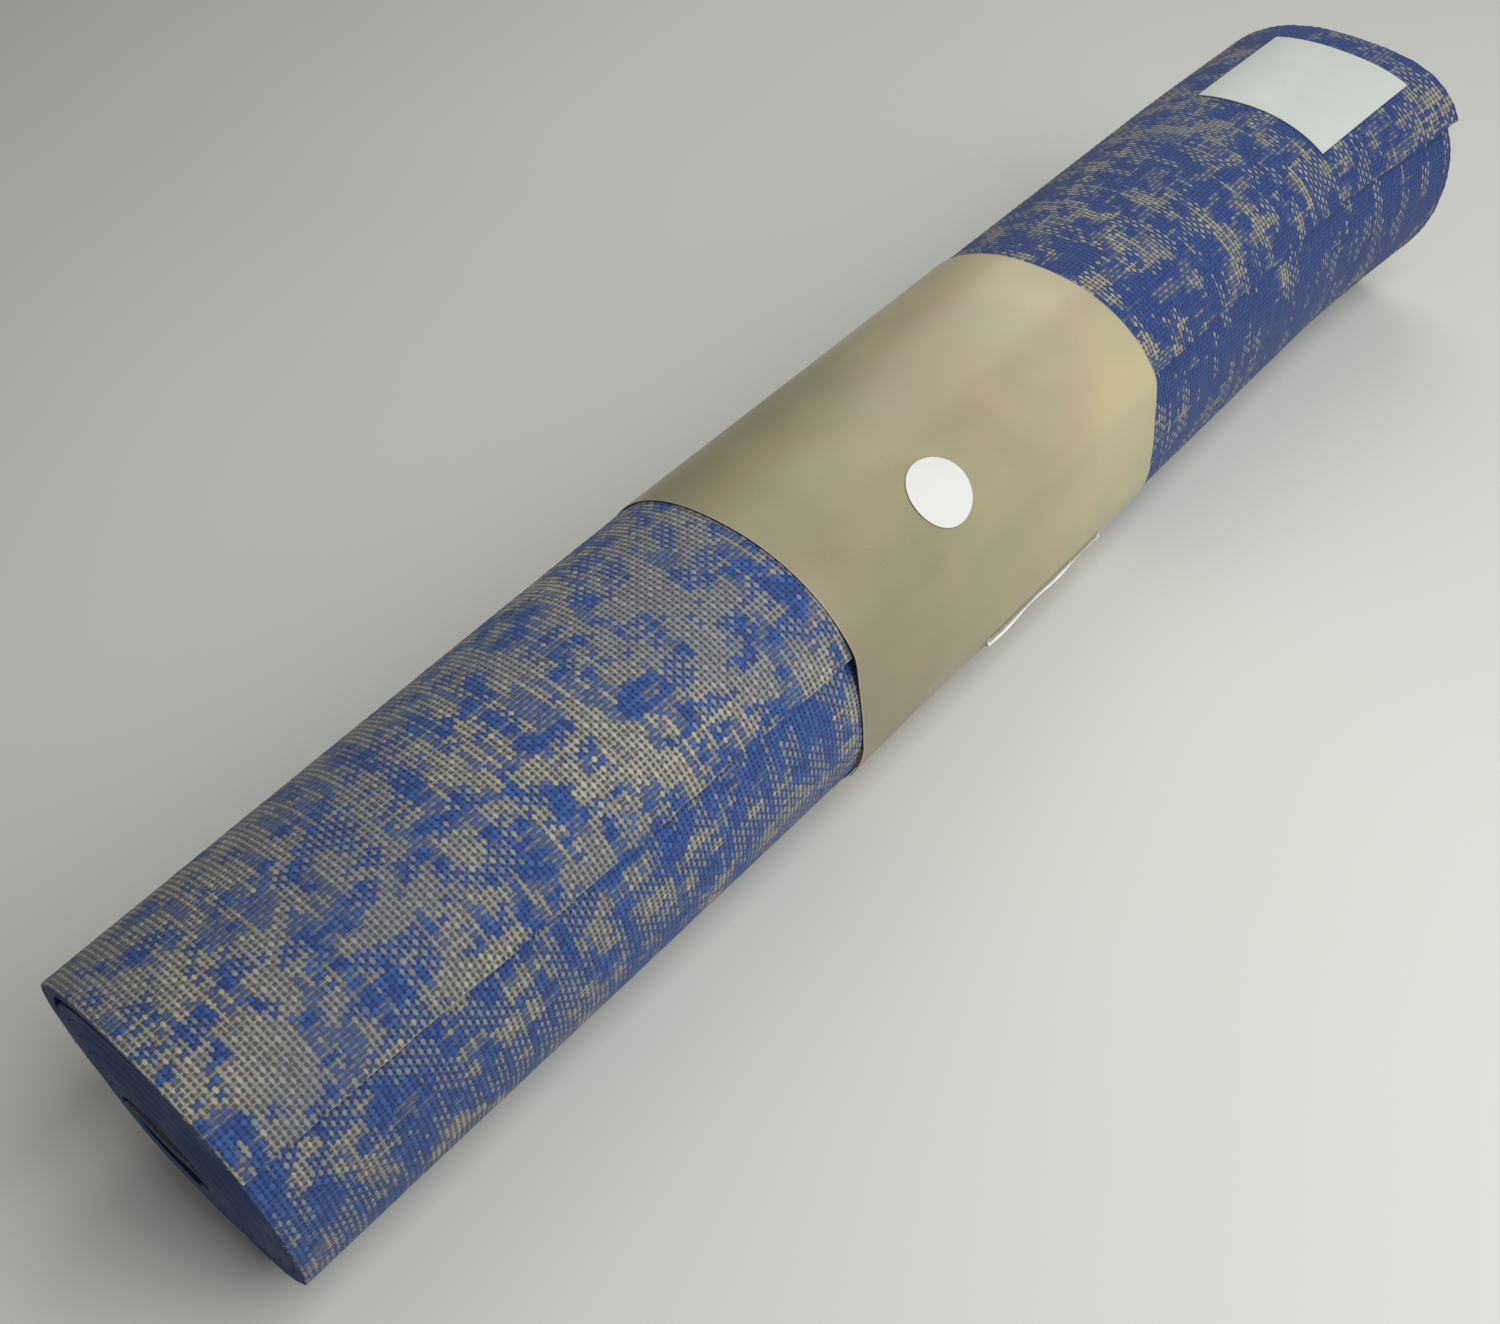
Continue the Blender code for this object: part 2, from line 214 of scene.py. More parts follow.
@dataclass
class RollShape:
    """The wound sheet: the CAD model's section, and how the real roll departs from it.

    A place on the sheet is given by x along the roll, by the turn counted inwards
    from the loose edge, and by the depth inwards from the woven face. The near end
    is the plain one at -X, and the far end is the one with the label.
    """

    length: float = 1.83
    width: float = 0.61
    sheet: float = 0.0044
    turn_gap: float = 0.00045
    eye_width: float = 0.0315
    eye_height: float = 0.028
    underside_flat: float = 0.0015
    exponent: float = 2.25
    loose_angle: float = math.radians(152.0)
    turn_steps: int = 40
    solver_steps: int = 60
    solver_range: Pair = (1.0, 16.0)

    taper: float = 0.0035
    taper_start: float = -0.081
    taper_power: float = 1.15
    taper_most: float = 1.2
    taper_shift: float = 0.0017
    slant: float = math.radians(-6.0)
    slant_turns: float = 0.8

    flare: float = 0.0095
    flare_start: float = 0.224
    flare_power: float = 1.4
    flare_most: float = 1.05
    flare_angle: float = math.radians(155.0)
    flare_above: float = math.radians(57.0)
    flare_below: float = math.radians(90.0)
    flare_inwards: float = 0.6
    flare_shift: float = 0.0022
    curl: float = 0.0022
    curl_turns: float = 0.12

    press: float = 0.0013
    press_far: float = 0.0012
    press_far_x: float = 0.02
    press_far_length: float = 0.1
    press_reach: float = 0.011
    press_widening: float = 1.3
    press_power: float = 1.5

    core_proud: float = 0.0027
    gap_angle: float = math.radians(60.0)
    gap_spread: float = math.radians(76.0)
    gap_width: float = 0.0024
    gap_reach: float = 0.085
    gap_turn: float = 0.6
    gap_turns: float = 0.4
    squeeze: float = 0.0026
    sag: float = 0.0145
    sag_reach: float = 0.07
    sag_turns: float = 1.04
    sag_ease: float = 0.15
    sag_angle: float = math.radians(8.0)
    sag_power: float = 1.4

    tuck_ease: float = 0.1
    bare_from: float = 1.0
    bare_to: float = 0.47
    bare_ease: float = 0.06

    turns: float = field(init=False, default=0.0)
    middle: Pair = field(init=False, default=(0.0, 0.0))

    def __post_init__(self) -> None:
        """Solve the number of turns and read the eye's middle off the frame."""
        self.pitch = self.sheet + self.turn_gap
        self.near_x = -self.width / 2.0
        self.far_x = self.width / 2.0
        self.bottom_turn = (self.loose_angle + math.pi / 2.0) / FULL_TURN
        self.turns = self.solve_turns()
        self.full = self.sheet + self.pitch * self.turns
        face = self.section(np.linspace(0.0, 1.0, self.turn_steps + 1), 0.0)
        low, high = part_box("mat_woven_face")
        self.middle = ((low.y + high.y) / 2.0 - (face[:, 0].min() + face[:, 0].max()) / 2.0,
                       low.z - self.underside_level(0.0, 0.0))
        self.length_stops = np.linspace(0.0, self.turns, int(self.turns * self.turn_steps * 4))
        self.lengths = run_lengths(self.section(self.length_stops, 0.0))

    def growth(self, turn: Places, depth: Places) -> Places:
        """How far outside the eye the sheet lies, at a turn and a depth."""
        return self.sheet + self.pitch * (self.turns - turn) - depth

    def radius(self, angle: Places, growth: Places) -> Places:
        """Distance from the eye's middle to the rounded outline at an angle.

        Args:
            angle: Angles about the eye's middle.
            growth: How far outside the eye the sheet lies.

        Returns:
            The distances.
        """
        across = (np.abs(np.cos(angle)) / (self.eye_width / 2.0 + growth)) ** self.exponent
        upright = (np.abs(np.sin(angle)) / (self.eye_height / 2.0 + growth)) ** self.exponent
        return (across + upright) ** (-1.0 / self.exponent)

    def underside_level(self, passes: Places, depth: Places) -> Places:
        """Height of the flat underside of one pass of the sheet below the eye."""
        turn = self.bottom_turn + passes
        return self.underside_flat - self.eye_height / 2.0 - self.growth(turn, depth)

    def flattened(self, z: Places, turn: Places, depth: Places, lift: Places = 0.0) -> Places:
        """Heights kept above the flat underside of their own pass, raised by a lift."""
        flat = np.maximum(z, self.underside_level(np.round(turn - self.bottom_turn), depth) + lift)
        return np.where(z < 0.0, flat, z)

    def section(self, turn: Places, depth: Places) -> Places:
        """Rows of y, z of the plain winding about the eye's middle, as the CAD model has them.

        Args:
            turn: Turns counted inwards from the loose edge.
            depth: Depths inwards from the face.

        Returns:
            One row of y, z for each turn.
        """
        angle = self.loose_angle - FULL_TURN * turn
        radius = self.radius(angle, self.growth(turn, depth))
        return as_rows(radius * np.cos(angle), self.flattened(radius * np.sin(angle), turn, depth))

    def solve_turns(self) -> float:
        """Number of turns that uses up the whole length of the mat.

        Returns:
            The turns, as the CAD model solves them.
        """
        fewest, most = self.solver_range
        for _ in range(self.solver_steps):
            self.turns = (fewest + most) / 2.0
            whole = int(self.turns * self.turn_steps)
            stops = np.arange(whole + 1) / self.turn_steps
            if self.turns * self.turn_steps - whole > 0.5:
                stops = np.append(stops, self.turns)
            else:
                stops[-1] = self.turns
            line = self.section(stops, self.sheet / 2.0)
            if np.hypot(*np.diff(line, axis=0).T).sum() < self.length:
                fewest = self.turns
            else:
                most = self.turns
        return fewest

    def turn_at(self, length: Places) -> Places:
        """Turn that lies a length along the face from the loose edge."""
        return np.interp(length, self.lengths, self.length_stops)

    def length_at(self, turn: Places) -> Places:
        """Length along the face from the loose edge to a turn."""
        return np.interp(turn, self.length_stops, self.lengths)

    def flat_place(self, x: Places, length: Places) -> Places:
        """Place on the flat cloth, in metres from the near end and the loose edge."""
        return as_rows(x - self.near_x, length)

    def proud(self, turn: Places, depth: Places) -> Places:
        """How far the sheet's end stands out towards the near end, as one even cone."""
        inwards = turn + depth / self.pitch
        return self.core_proud * smooth((inwards - 1.0) / (self.turns - 2.0))

    def place(self, x: Places, turn: Places, depth: Places) -> Places:
        """Places on the real roll.

        Args:
            x: Places along the roll, before the core's ends stand proud.
            turn: Turns counted inwards from the loose edge.
            depth: Depths inwards from the face, negative above it.

        Returns:
            An array of x, y, z in the row's frame, with the shape of the inputs.
        """
        x, turn, depth = np.broadcast_arrays(*(np.asarray(item, float) for item in (x, turn, depth)))
        near = (self.taper_start - x) / (self.taper_start - self.near_x)
        near = np.clip(near, 0.0, self.taper_most) ** self.taper_power
        far = (x - self.flare_start) / (self.far_x - self.flare_start)
        far = np.clip(far, 0.0, self.flare_most) ** self.flare_power
        shrink = self.taper * near
        angle = self.loose_angle - FULL_TURN * turn
        angle = angle + self.slant * near * (1.0 - smooth(turn / self.slant_turns))
        growth = self.growth(turn, depth)
        radius = self.radius(angle, growth - shrink) + far * self.opening(turn, angle, growth)
        radius = radius - self.pressed(x, turn, depth)
        z = self.flattened(radius * np.sin(angle), turn, depth, shrink)
        y, z = self.loosen(x, turn, angle, growth, radius * np.cos(angle), z)
        y = y + self.middle[0] + self.taper_shift * near - self.flare_shift * far
        return as_rows(x - self.proud(turn, depth), y, z + self.middle[1] - shrink)

    def pressed(self, x: Places, turn: Places, depth: Places) -> Places:
        """How far the soft foam is pressed in along the loose edge, none at its underside.

        Args:
            x: Places along the roll.
            turn: Turns counted inwards.
            depth: Depths inwards from the face.

        Returns:
            What is taken from the radius.
        """
        edge = fade(turn * self.full * FULL_TURN / self.press_reach / self.press_widening)
        much = self.press + self.press_far * smooth((x - self.press_far_x) / self.press_far_length)
        return much * edge ** self.press_power * fade(depth / self.sheet)

    def opening(self, turn: Places, angle: Places, growth: Places) -> Places:
        """How far the far end springs open on the loose edge's side, most at its corner.

        Args:
            turn: Turns counted inwards.
            angle: Angles about the eye's middle.
            growth: How far outside the eye the sheet lies.

        Returns:
            What is added to the radius at the very end.
        """
        off = off_angle(angle, self.flare_angle)
        spread = np.where(off < 0.0, self.flare_above, self.flare_below)
        lobe = np.cos(np.clip(off / spread, -1.0, 1.0) * math.pi / 2.0) ** 2
        outer = np.clip(growth / self.full, 0.0, 1.0) ** self.flare_inwards
        return self.flare * lobe * outer + self.curl * fade(turn / self.curl_turns) ** 2

    def loosen(self, x: Places, turn: Places, angle: Places, growth: Places, y: Places,
               z: Places) -> tuple[Places, Places]:
        """Let the core sink from the outermost turn at the near end, and its last turn sag.

        Args:
            x: Places along the roll.
            turn: Turns counted inwards.
            angle: Angles about the eye's middle.
            growth: How far outside the eye the sheet lies.
            y: Places across.
            z: Heights about the eye's middle.

        Returns:
            The moved y and z.
        """
        from_end = x - self.near_x
        off = np.abs(off_angle(angle, self.gap_angle))
        lobe = np.where(off < self.gap_spread, np.cos(off / self.gap_spread * math.pi / 2.0) ** 2, 0.0)
        away = np.clip(-np.cos(angle - self.gap_angle), 0.0, 1.0) * self.squeeze
        gap = self.gap_width * lobe * smooth((turn - self.gap_turn) / self.gap_turns)
        move = (1.0 - smooth(from_end / self.gap_reach)) * (gap + away * fade(growth / self.full))
        y = y - move * math.cos(self.gap_angle)
        z = z - move * math.sin(self.gap_angle)
        slack = smooth((turn - (self.turns - self.sag_turns)) / self.sag_ease)
        over = np.clip(np.sin(angle - self.sag_angle), 0.0, 1.0) ** self.sag_power
        return y, z - self.sag * slack * (1.0 - smooth(from_end / self.sag_reach)) * over

    def tucked(self, turn: Places) -> Places:
        """Share, from 0 to 1, of the turns that have a turn pressed on them at the near end.

        Args:
            turn: Turns counted inwards.

        Returns:
            The shares.
        """
        start, end = (smooth((turn - (self.turns - left)) / self.bare_ease)
                      for left in (self.bare_from, self.bare_to))
        return smooth((turn - 1.0) / self.tuck_ease) * (1.0 - start * (1.0 - end))

    def columns(self, stops: Sequence[float]) -> Places:
        """Places along the roll at stops counted from both ends, and its middle."""
        near = self.near_x + np.array(stops)
        return np.concatenate([near, [0.0], -near[::-1]])

    def mesh_turns(self, first: float, per_turn: int) -> Places:
        """Even turn values from one turn to the sheet's inner end."""
        return np.linspace(first, self.turns, int(round((self.turns - first) * per_turn)) + 1)


# Building meshes


@dataclass
class MeshDraft:
    """Vertices, faces and two maps that grow together until they become one mesh."""

    places: list[Places] = field(default_factory=list)
    cloth: list[Places] = field(default_factory=list)
    bake: list[Places] = field(default_factory=list)
    faces: list[tuple[int, ...]] = field(default_factory=list)
    count: int = 0

    def grid(self, places: Places, cloth: Places, bake: Places, flip: bool = False) -> Places:
        """Add a grid of quads.

        Args:
            places: Rows and columns of x, y, z.
            cloth: Rows and columns of u, v along the cloth.
            bake: Rows and columns of u, v for the bake.
            flip: Whether the faces point the other way.

        Returns:
            The grid's vertex numbers, as rows and columns.
        """
        rows, columns = places.shape[:2]
        index = np.arange(rows * columns).reshape(rows, columns) + self.count
        self.places.append(places.reshape(-1, 3))
        self.cloth.append(cloth.reshape(-1, 2))
        self.bake.append(bake.reshape(-1, 2))
        self.count += rows * columns
        corners = [index[:-1, :-1], index[:-1, 1:], index[1:, 1:], index[1:, :-1]]
        if flip:
            corners.reverse()
        self.faces.extend(map(tuple, np.stack(corners, axis=-1).reshape(-1, 4).tolist()))
        return index

    def zip(self, first: Sequence[int], first_stops: Places, second: Sequence[int],
            second_stops: Places) -> None:
        """Close the strip between two chains of vertices with triangles.

        Args:
            first: Vertex numbers of one chain.
            first_stops: Rising values that say where its vertices lie.
            second: Vertex numbers of the other chain.
            second_stops: Rising values of the other chain.
        """
        one, two = 0, 0
        while one < len(first) - 1 or two < len(second) - 1:
            step_one = two == len(second) - 1
            if one < len(first) - 1 and two < len(second) - 1:
                step_one = first_stops[one + 1] <= second_stops[two + 1]
            if step_one:
                self.faces.append((int(first[one]), int(first[one + 1]), int(second[two])))
                one += 1
            else:
                self.faces.append((int(first[one]), int(second[two + 1]), int(second[two])))
                two += 1

    def build(self, name: str, sharp_degrees: float) -> Piece:
        """Make the closed piece and store its two maps.

        Args:
            name: Name of the piece.
            sharp_degrees: Angle past which an edge is shaded sharp.

        Returns:
            The object.
        """
        piece = closed_piece(name, self.places, self.faces, sharp_degrees)
        write_map(piece.data, CLOTH_MAP, np.concatenate(self.cloth))
        write_map(piece.data, BAKE_MAP, np.concatenate(self.bake))
        return piece


# Shader helpers


class Nodes:
    """Adds nodes to one tree and joins their sockets."""

    def __init__(self, tree: bpy.types.NodeTree) -> None:
        """Keep the tree that the nodes go into."""
        self.tree = tree

    def feed(self, socket: Socket, value: object) -> None:
        """Link a socket to an output, or set its constant.

        Args:
            socket: The input socket.
            value: An output socket, a number or a sequence of numbers.
        """
        if isinstance(value, Socket):
            self.tree.links.new(value, socket)
        elif socket.type == "RGBA" and len(value) == 3:
            socket.default_value = (*value, 1.0)
        else:
            socket.default_value = value

    def add(self, kind: str, inputs: dict[str | int, object] | None = None,
            **settings: object) -> bpy.types.Node:
        """Add a node.

        Args:
            kind: The node's type name.
            inputs: Values or links by input name or number.
            settings: Attributes to set on the node.

        Returns:
            The new node.
        """
        node = self.tree.nodes.new(kind)
        for name, value in settings.items():
            setattr(node, name, value)
        for name, value in (inputs or {}).items():
            self.feed(node.inputs[name], value)
        return node

    def cloth(self) -> Socket:
        """Place on the flat cloth or cut, in metres, from the piece's own map."""
        return self.add("ShaderNodeUVMap", uv_map=CLOTH_MAP).outputs[0]

    def math(self, operation: str, *values: object, clamp: bool = False) -> Socket:
        """Result of a Math node, which is kept from 0 to 1 on demand."""
        node = self.add("ShaderNodeMath", dict(enumerate(values)), operation=operation, use_clamp=clamp)
        return node.outputs[0]

    def vector(self, operation: str, *values: object) -> Socket:
        """Result of a Vector Math node."""
        node = self.add("ShaderNodeVectorMath", dict(enumerate(values)), operation=operation)
        return node.outputs[0]

    def total(self, *parts: tuple[object, float]) -> Socket:
        """Add up pairs of a value and its weight.

        Args:
            parts: The pairs.

        Returns:
            The sum's socket.
        """
        result: object = 0.0
        for value, weight in parts:
            result = self.math("MULTIPLY_ADD", value, weight, result)
        return result

    def spread(self, value: object, low: object, high: object, to_low: float = 0.0,
               to_high: float = 1.0, eased: bool = True) -> Socket:
        """Map a range of values to another, clamped.

        Args:
            value: The value.
            low: Start of its range.
            high: End of its range.
            to_low: Result at the start.
            to_high: Result at the end.
            eased: Whether the change starts and ends gently.

        Returns:
            The result's socket.
        """
        node = self.add("ShaderNodeMapRange", {0: value, 1: low, 2: high, 3: to_low, 4: to_high},
                        interpolation_type="SMOOTHSTEP" if eased else "LINEAR")
        return node.outputs[0]

    def pick(self, which: object, one: object, zero: object) -> Socket:
        """The first value where a mask is one, and the second where it is zero."""
        return self.math("MULTIPLY_ADD", which, self.math("SUBTRACT", one, zero), zero)

    def blend(self, share: object, first: object, second: object,
              mode: str = "MIX") -> Socket:
        """Mix two colours.

        Args:
            share: How much of the second colour.
            first: The first colour.
            second: The second colour.
            mode: The blend mode.

        Returns:
            The colour's socket.
        """
        node = self.add("ShaderNodeMix", data_type="RGBA", blend_type=mode)
        for name, value in (("Factor_Float", share), ("A_Color", first), ("B_Color", second)):
            self.feed(next(item for item in node.inputs if item.identifier == name), value)
        return next(item for item in node.outputs if item.identifier == "Result_Color")

    def tint(self, colour: object, mask: object, much: float, other: Colour) -> Socket:
        """Blend part of another colour in where a mask is high."""
        return self.blend(self.math("MULTIPLY", mask, much), colour, other)

    def dimmed(self, colour: object, share: Socket) -> Socket:
        """A colour times a value."""
        return self.blend(1.0, colour, self.join(share, share, share), "MULTIPLY")

    def join(self, x: object, y: object, z: object = 0.0) -> Socket:
        """Combine three values into a vector."""
        return self.add("ShaderNodeCombineXYZ", {0: x, 1: y, 2: z}).outputs[0]

    def split(self, vector: Socket) -> tuple[Socket, ...]:
        """Separate a vector into its x, y and z."""
        return tuple(self.add("ShaderNodeSeparateXYZ", {0: vector}).outputs)

    def noise(self, vector: Socket, scale: Sequence[float] = (1.0, 1.0, 1.0),
              detail: float = 0.0, roughness: float = 0.5, seed: float = 0.0) -> Socket:
        """Noise from 0 to 1 with its own scale along each axis.

        Args:
            vector: Where to look it up.
            scale: Scale along x, y and z.
            detail: Number of finer layers.
            roughness: Strength of the finer layers.
            seed: Shift that makes it unlike other noises.

        Returns:
            The value's socket.
        """
        place = self.vector("MULTIPLY_ADD", vector, scale, (seed, seed * 1.7, seed * 0.6))
        node = self.add("ShaderNodeTexNoise", {"Vector": place, "Scale": 1.0, "Detail": detail,
                                               "Roughness": roughness})
        return node.outputs[0]

    def dither(self, vector: Socket, seed: float = 0.0) -> Socket:
        """A random value from 0 to 1 for each whole place."""
        place = self.vector("ADD", vector, (seed, seed, seed))
        return self.add("ShaderNodeTexWhiteNoise", {"Vector": place}).outputs[0]

    def give(self, **results: Socket) -> bpy.types.NodeTree:
        """Feed the outputs of a group.

        Args:
            results: Value of each output, with _ for each space of its name.

        Returns:
            The group.
        """
        end = self.add("NodeGroupOutput")
        for label, value in results.items():
            self.feed(end.inputs[label.replace("_", " ")], value)
        return self.tree


def new_group(name: str, takes: Sequence[tuple[str, str, float]],
              gives: Sequence[tuple[str, str]]) -> tuple[Nodes, list[Socket]]:
    """Start a shader node group with named sockets.

    Args:
        name: Name of the group.
        takes: Name, socket type and default of each input. A vector has no default.
        gives: Name and socket type of each output.

    Returns:
        The group's node adder and the sockets of its inputs.
    """
    tree = bpy.data.node_groups.new(name, "ShaderNodeTree")
    for label, kind, default in takes:
        socket = tree.interface.new_socket(name=label, in_out="INPUT", socket_type=kind)
        if kind == VALUE:
            socket.default_value = default
    for label, kind in gives:
        tree.interface.new_socket(name=label, in_out="OUTPUT", socket_type=kind)
    nodes = Nodes(tree)
    start = nodes.add("NodeGroupInput")
    return nodes, [start.outputs[label] for label, _, _ in takes]


def yarn_grid_group(name: str) -> bpy.types.NodeTree:
    """Number the yarns of a plain weave and tell how far a place lies from their middles.

    Warp yarns run round the roll and weft yarns along it. Place is in yarns, with a
    crossing at each whole number.

    Args:
        name: Name of the group.

    Returns:
        The node group.
    """
    n, (place, wander) = new_group(name, (("Place", VECTOR, 0.0), ("Wander", VALUE, 0.14)),
                                   (("Crossing", VECTOR), ("Offset", VECTOR)))
    wholes, offsets = [], []
    for value, scale, seed in zip(n.split(place), ((0.45, 0.16, 1.0), (0.16, 0.45, 1.0)), (3.1, 8.3)):
        shift = n.math("MULTIPLY_ADD", n.noise(place, scale, 1.0, seed=seed), 2.0, -1.0)
        value = n.math("MULTIPLY_ADD", shift, wander, value)
        wholes.append(n.math("ROUND", value))
        offsets.append(n.math("SUBTRACT", value, wholes[-1]))
    return n.give(Crossing=n.join(*wholes), Offset=n.join(*offsets))


def weave_group(name: str) -> bpy.types.NodeTree:
    """Plain open weave: which yarn is on top, its height and where the foam shows.

    Widths are half a yarn's width, in yarn pitches.

    Args:
        name: Name of the group.

    Returns:
        The node group.
    """
    n, (crossing, offset, *widths) = new_group(
        name,
        (("Crossing", VECTOR, 0.0), ("Offset", VECTOR, 0.0), ("Warp Width", VALUE, 0.33),
         ("Weft Width", VALUE, 0.3)),
        (("Warp On Top", VALUE), ("Height", VALUE), ("Hole", VALUE), ("Edge", VALUE)))
    whole_u, whole_v, _ = n.split(crossing)
    off_u, off_v, _ = n.split(offset)
    odd = n.math("ABSOLUTE", n.math("MODULO", n.math("ADD", whole_u, whole_v), 2.0))
    over = n.math("MULTIPLY_ADD", odd, -2.0, 1.0)
    u, v = n.math("ADD", whole_u, off_u), n.math("ADD", whole_v, off_v)
    thick_u = n.noise(n.join(whole_u, n.math("MULTIPLY", v, 0.2)), (1.37, 1.0, 1.0), seed=5.0)
    thick_v = n.noise(n.join(n.math("MULTIPLY", u, 0.2), whole_v), (1.0, 1.37, 1.0), seed=6.0)
    heights, tops = [], []
    for off, other, width, thick, sign in ((off_u, off_v, widths[0], thick_u, 1.0),
                                           (off_v, off_u, widths[1], thick_v, -1.0)):
        swell = n.math("MULTIPLY_ADD", n.math("COSINE", n.math("MULTIPLY", other, FULL_TURN)), 0.13, 0.92)
        uneven = n.math("MULTIPLY_ADD", thick, 1.1, 0.45)
        share = n.math("DIVIDE", off, n.math("MULTIPLY", width, n.math("MULTIPLY", swell, uneven)))
        left = n.math("SUBTRACT", 1.0, n.math("MULTIPLY", share, share))
        tops.append(n.math("SQRT", n.math("MAXIMUM", left, 0.0)))
        wave = n.math("MULTIPLY", over, n.math("COSINE", n.math("MULTIPLY", other, math.pi)))
        height = n.math("MULTIPLY_ADD", wave, 0.5 * sign, n.math("MULTIPLY_ADD", tops[-1], 0.5, 1.0))
        heights.append(n.math("MULTIPLY", height, n.math("GREATER_THAN", tops[-1], 0.0)))
    on_top = n.math("GREATER_THAN", *heights)
    height = n.math("MAXIMUM", *heights)
    under = n.math("MULTIPLY", tops[1], n.math("SUBTRACT", 1.0, on_top))
    return n.give(Warp_On_Top=on_top, Height=n.math("MULTIPLY", height, 0.5),
                  Hole=n.math("LESS_THAN", height, 0.01),
                  Edge=n.math("MAXIMUM", n.math("MULTIPLY", tops[0], on_top), under))


def grain_group(name: str) -> bpy.types.NodeTree:
    """Soft mottling and fine grain that plain surfaces share.

    Args:
        name: Name of the group.

    Returns:
        The node group.
    """
    n, (place, patch_scale, grain_scale) = new_group(
        name, (("Place", VECTOR, 0.0), ("Patch Scale", VALUE, 20.0), ("Grain Scale", VALUE, 900.0)),
        (("Patches", VALUE), ("Tint", VALUE), ("Grain", VALUE), ("Height", VALUE)))
    wide, fine = (n.add("ShaderNodeVectorMath", {0: place, "Scale": scale}, operation="SCALE").outputs[0]
                  for scale in (patch_scale, grain_scale))
    patches = n.noise(wide, detail=3.0, roughness=0.55, seed=2.0)
    tint = n.noise(wide, (0.7, 0.7, 0.7), 2.0, 0.5, 11.0)
    grain = n.noise(fine, detail=2.0, roughness=0.6, seed=5.0)
    return n.give(Patches=n.spread(patches, 0.3, 0.7), Tint=n.spread(tint, 0.35, 0.65), Grain=grain,
                  Height=n.total((grain, 0.6), (patches, 0.4)))


GROUPS = {"yarn grid": yarn_grid_group, "weave": weave_group, "grain": grain_group}


def use_group(nodes: Nodes, name: str, inputs: dict[str, object]) -> bpy.types.Node:
    """Place a shared group in a tree, building it the first time.

    Args:
        nodes: The adder of the tree that uses it.
        name: Key of the group.
        inputs: Values or links for its inputs.

    Returns:
        The group's node.
    """
    key = f"shared {name}"
    tree = bpy.data.node_groups.get(key) or GROUPS[name](key)
    return nodes.add("ShaderNodeGroup", inputs, node_tree=tree)


def new_material(name: str, roughness: float) -> tuple[bpy.types.Material, Nodes, bpy.types.Node]:
    """Start a material.

    Args:
        name: Name of the material.
        roughness: Its roughness where nothing varies it.

    Returns:
        The material, its node adder and its Principled shader.
    """
    material = bpy.data.materials.new(name)
    material.use_nodes = True
    shader = material.node_tree.nodes["Principled BSDF"]
    shader.inputs["Roughness"].default_value = roughness
    return material, Nodes(material.node_tree), shader


def bump(nodes: Nodes, shader: bpy.types.Node, height: object, distance: float, strength: float) -> None:
    """Feed a shader's normal with a height whose step of one is a distance in metres."""
    node = nodes.add("ShaderNodeBump", {"Height": height, "Distance": distance, "Strength": strength})
    nodes.feed(shader.inputs["Normal"], node.outputs[0])


# Finishes


def yarn_place(n: Nodes, pitches: Pair, start: float = 0.0) -> Socket:
    """Place on the cloth in yarns of two pitches, along and round, counted from a start."""
    scale = (1.0 / pitches[0], 1.0 / pitches[1], 1.0)
    return n.vector("MULTIPLY_ADD", n.cloth(), scale, (start, start, 0.0))


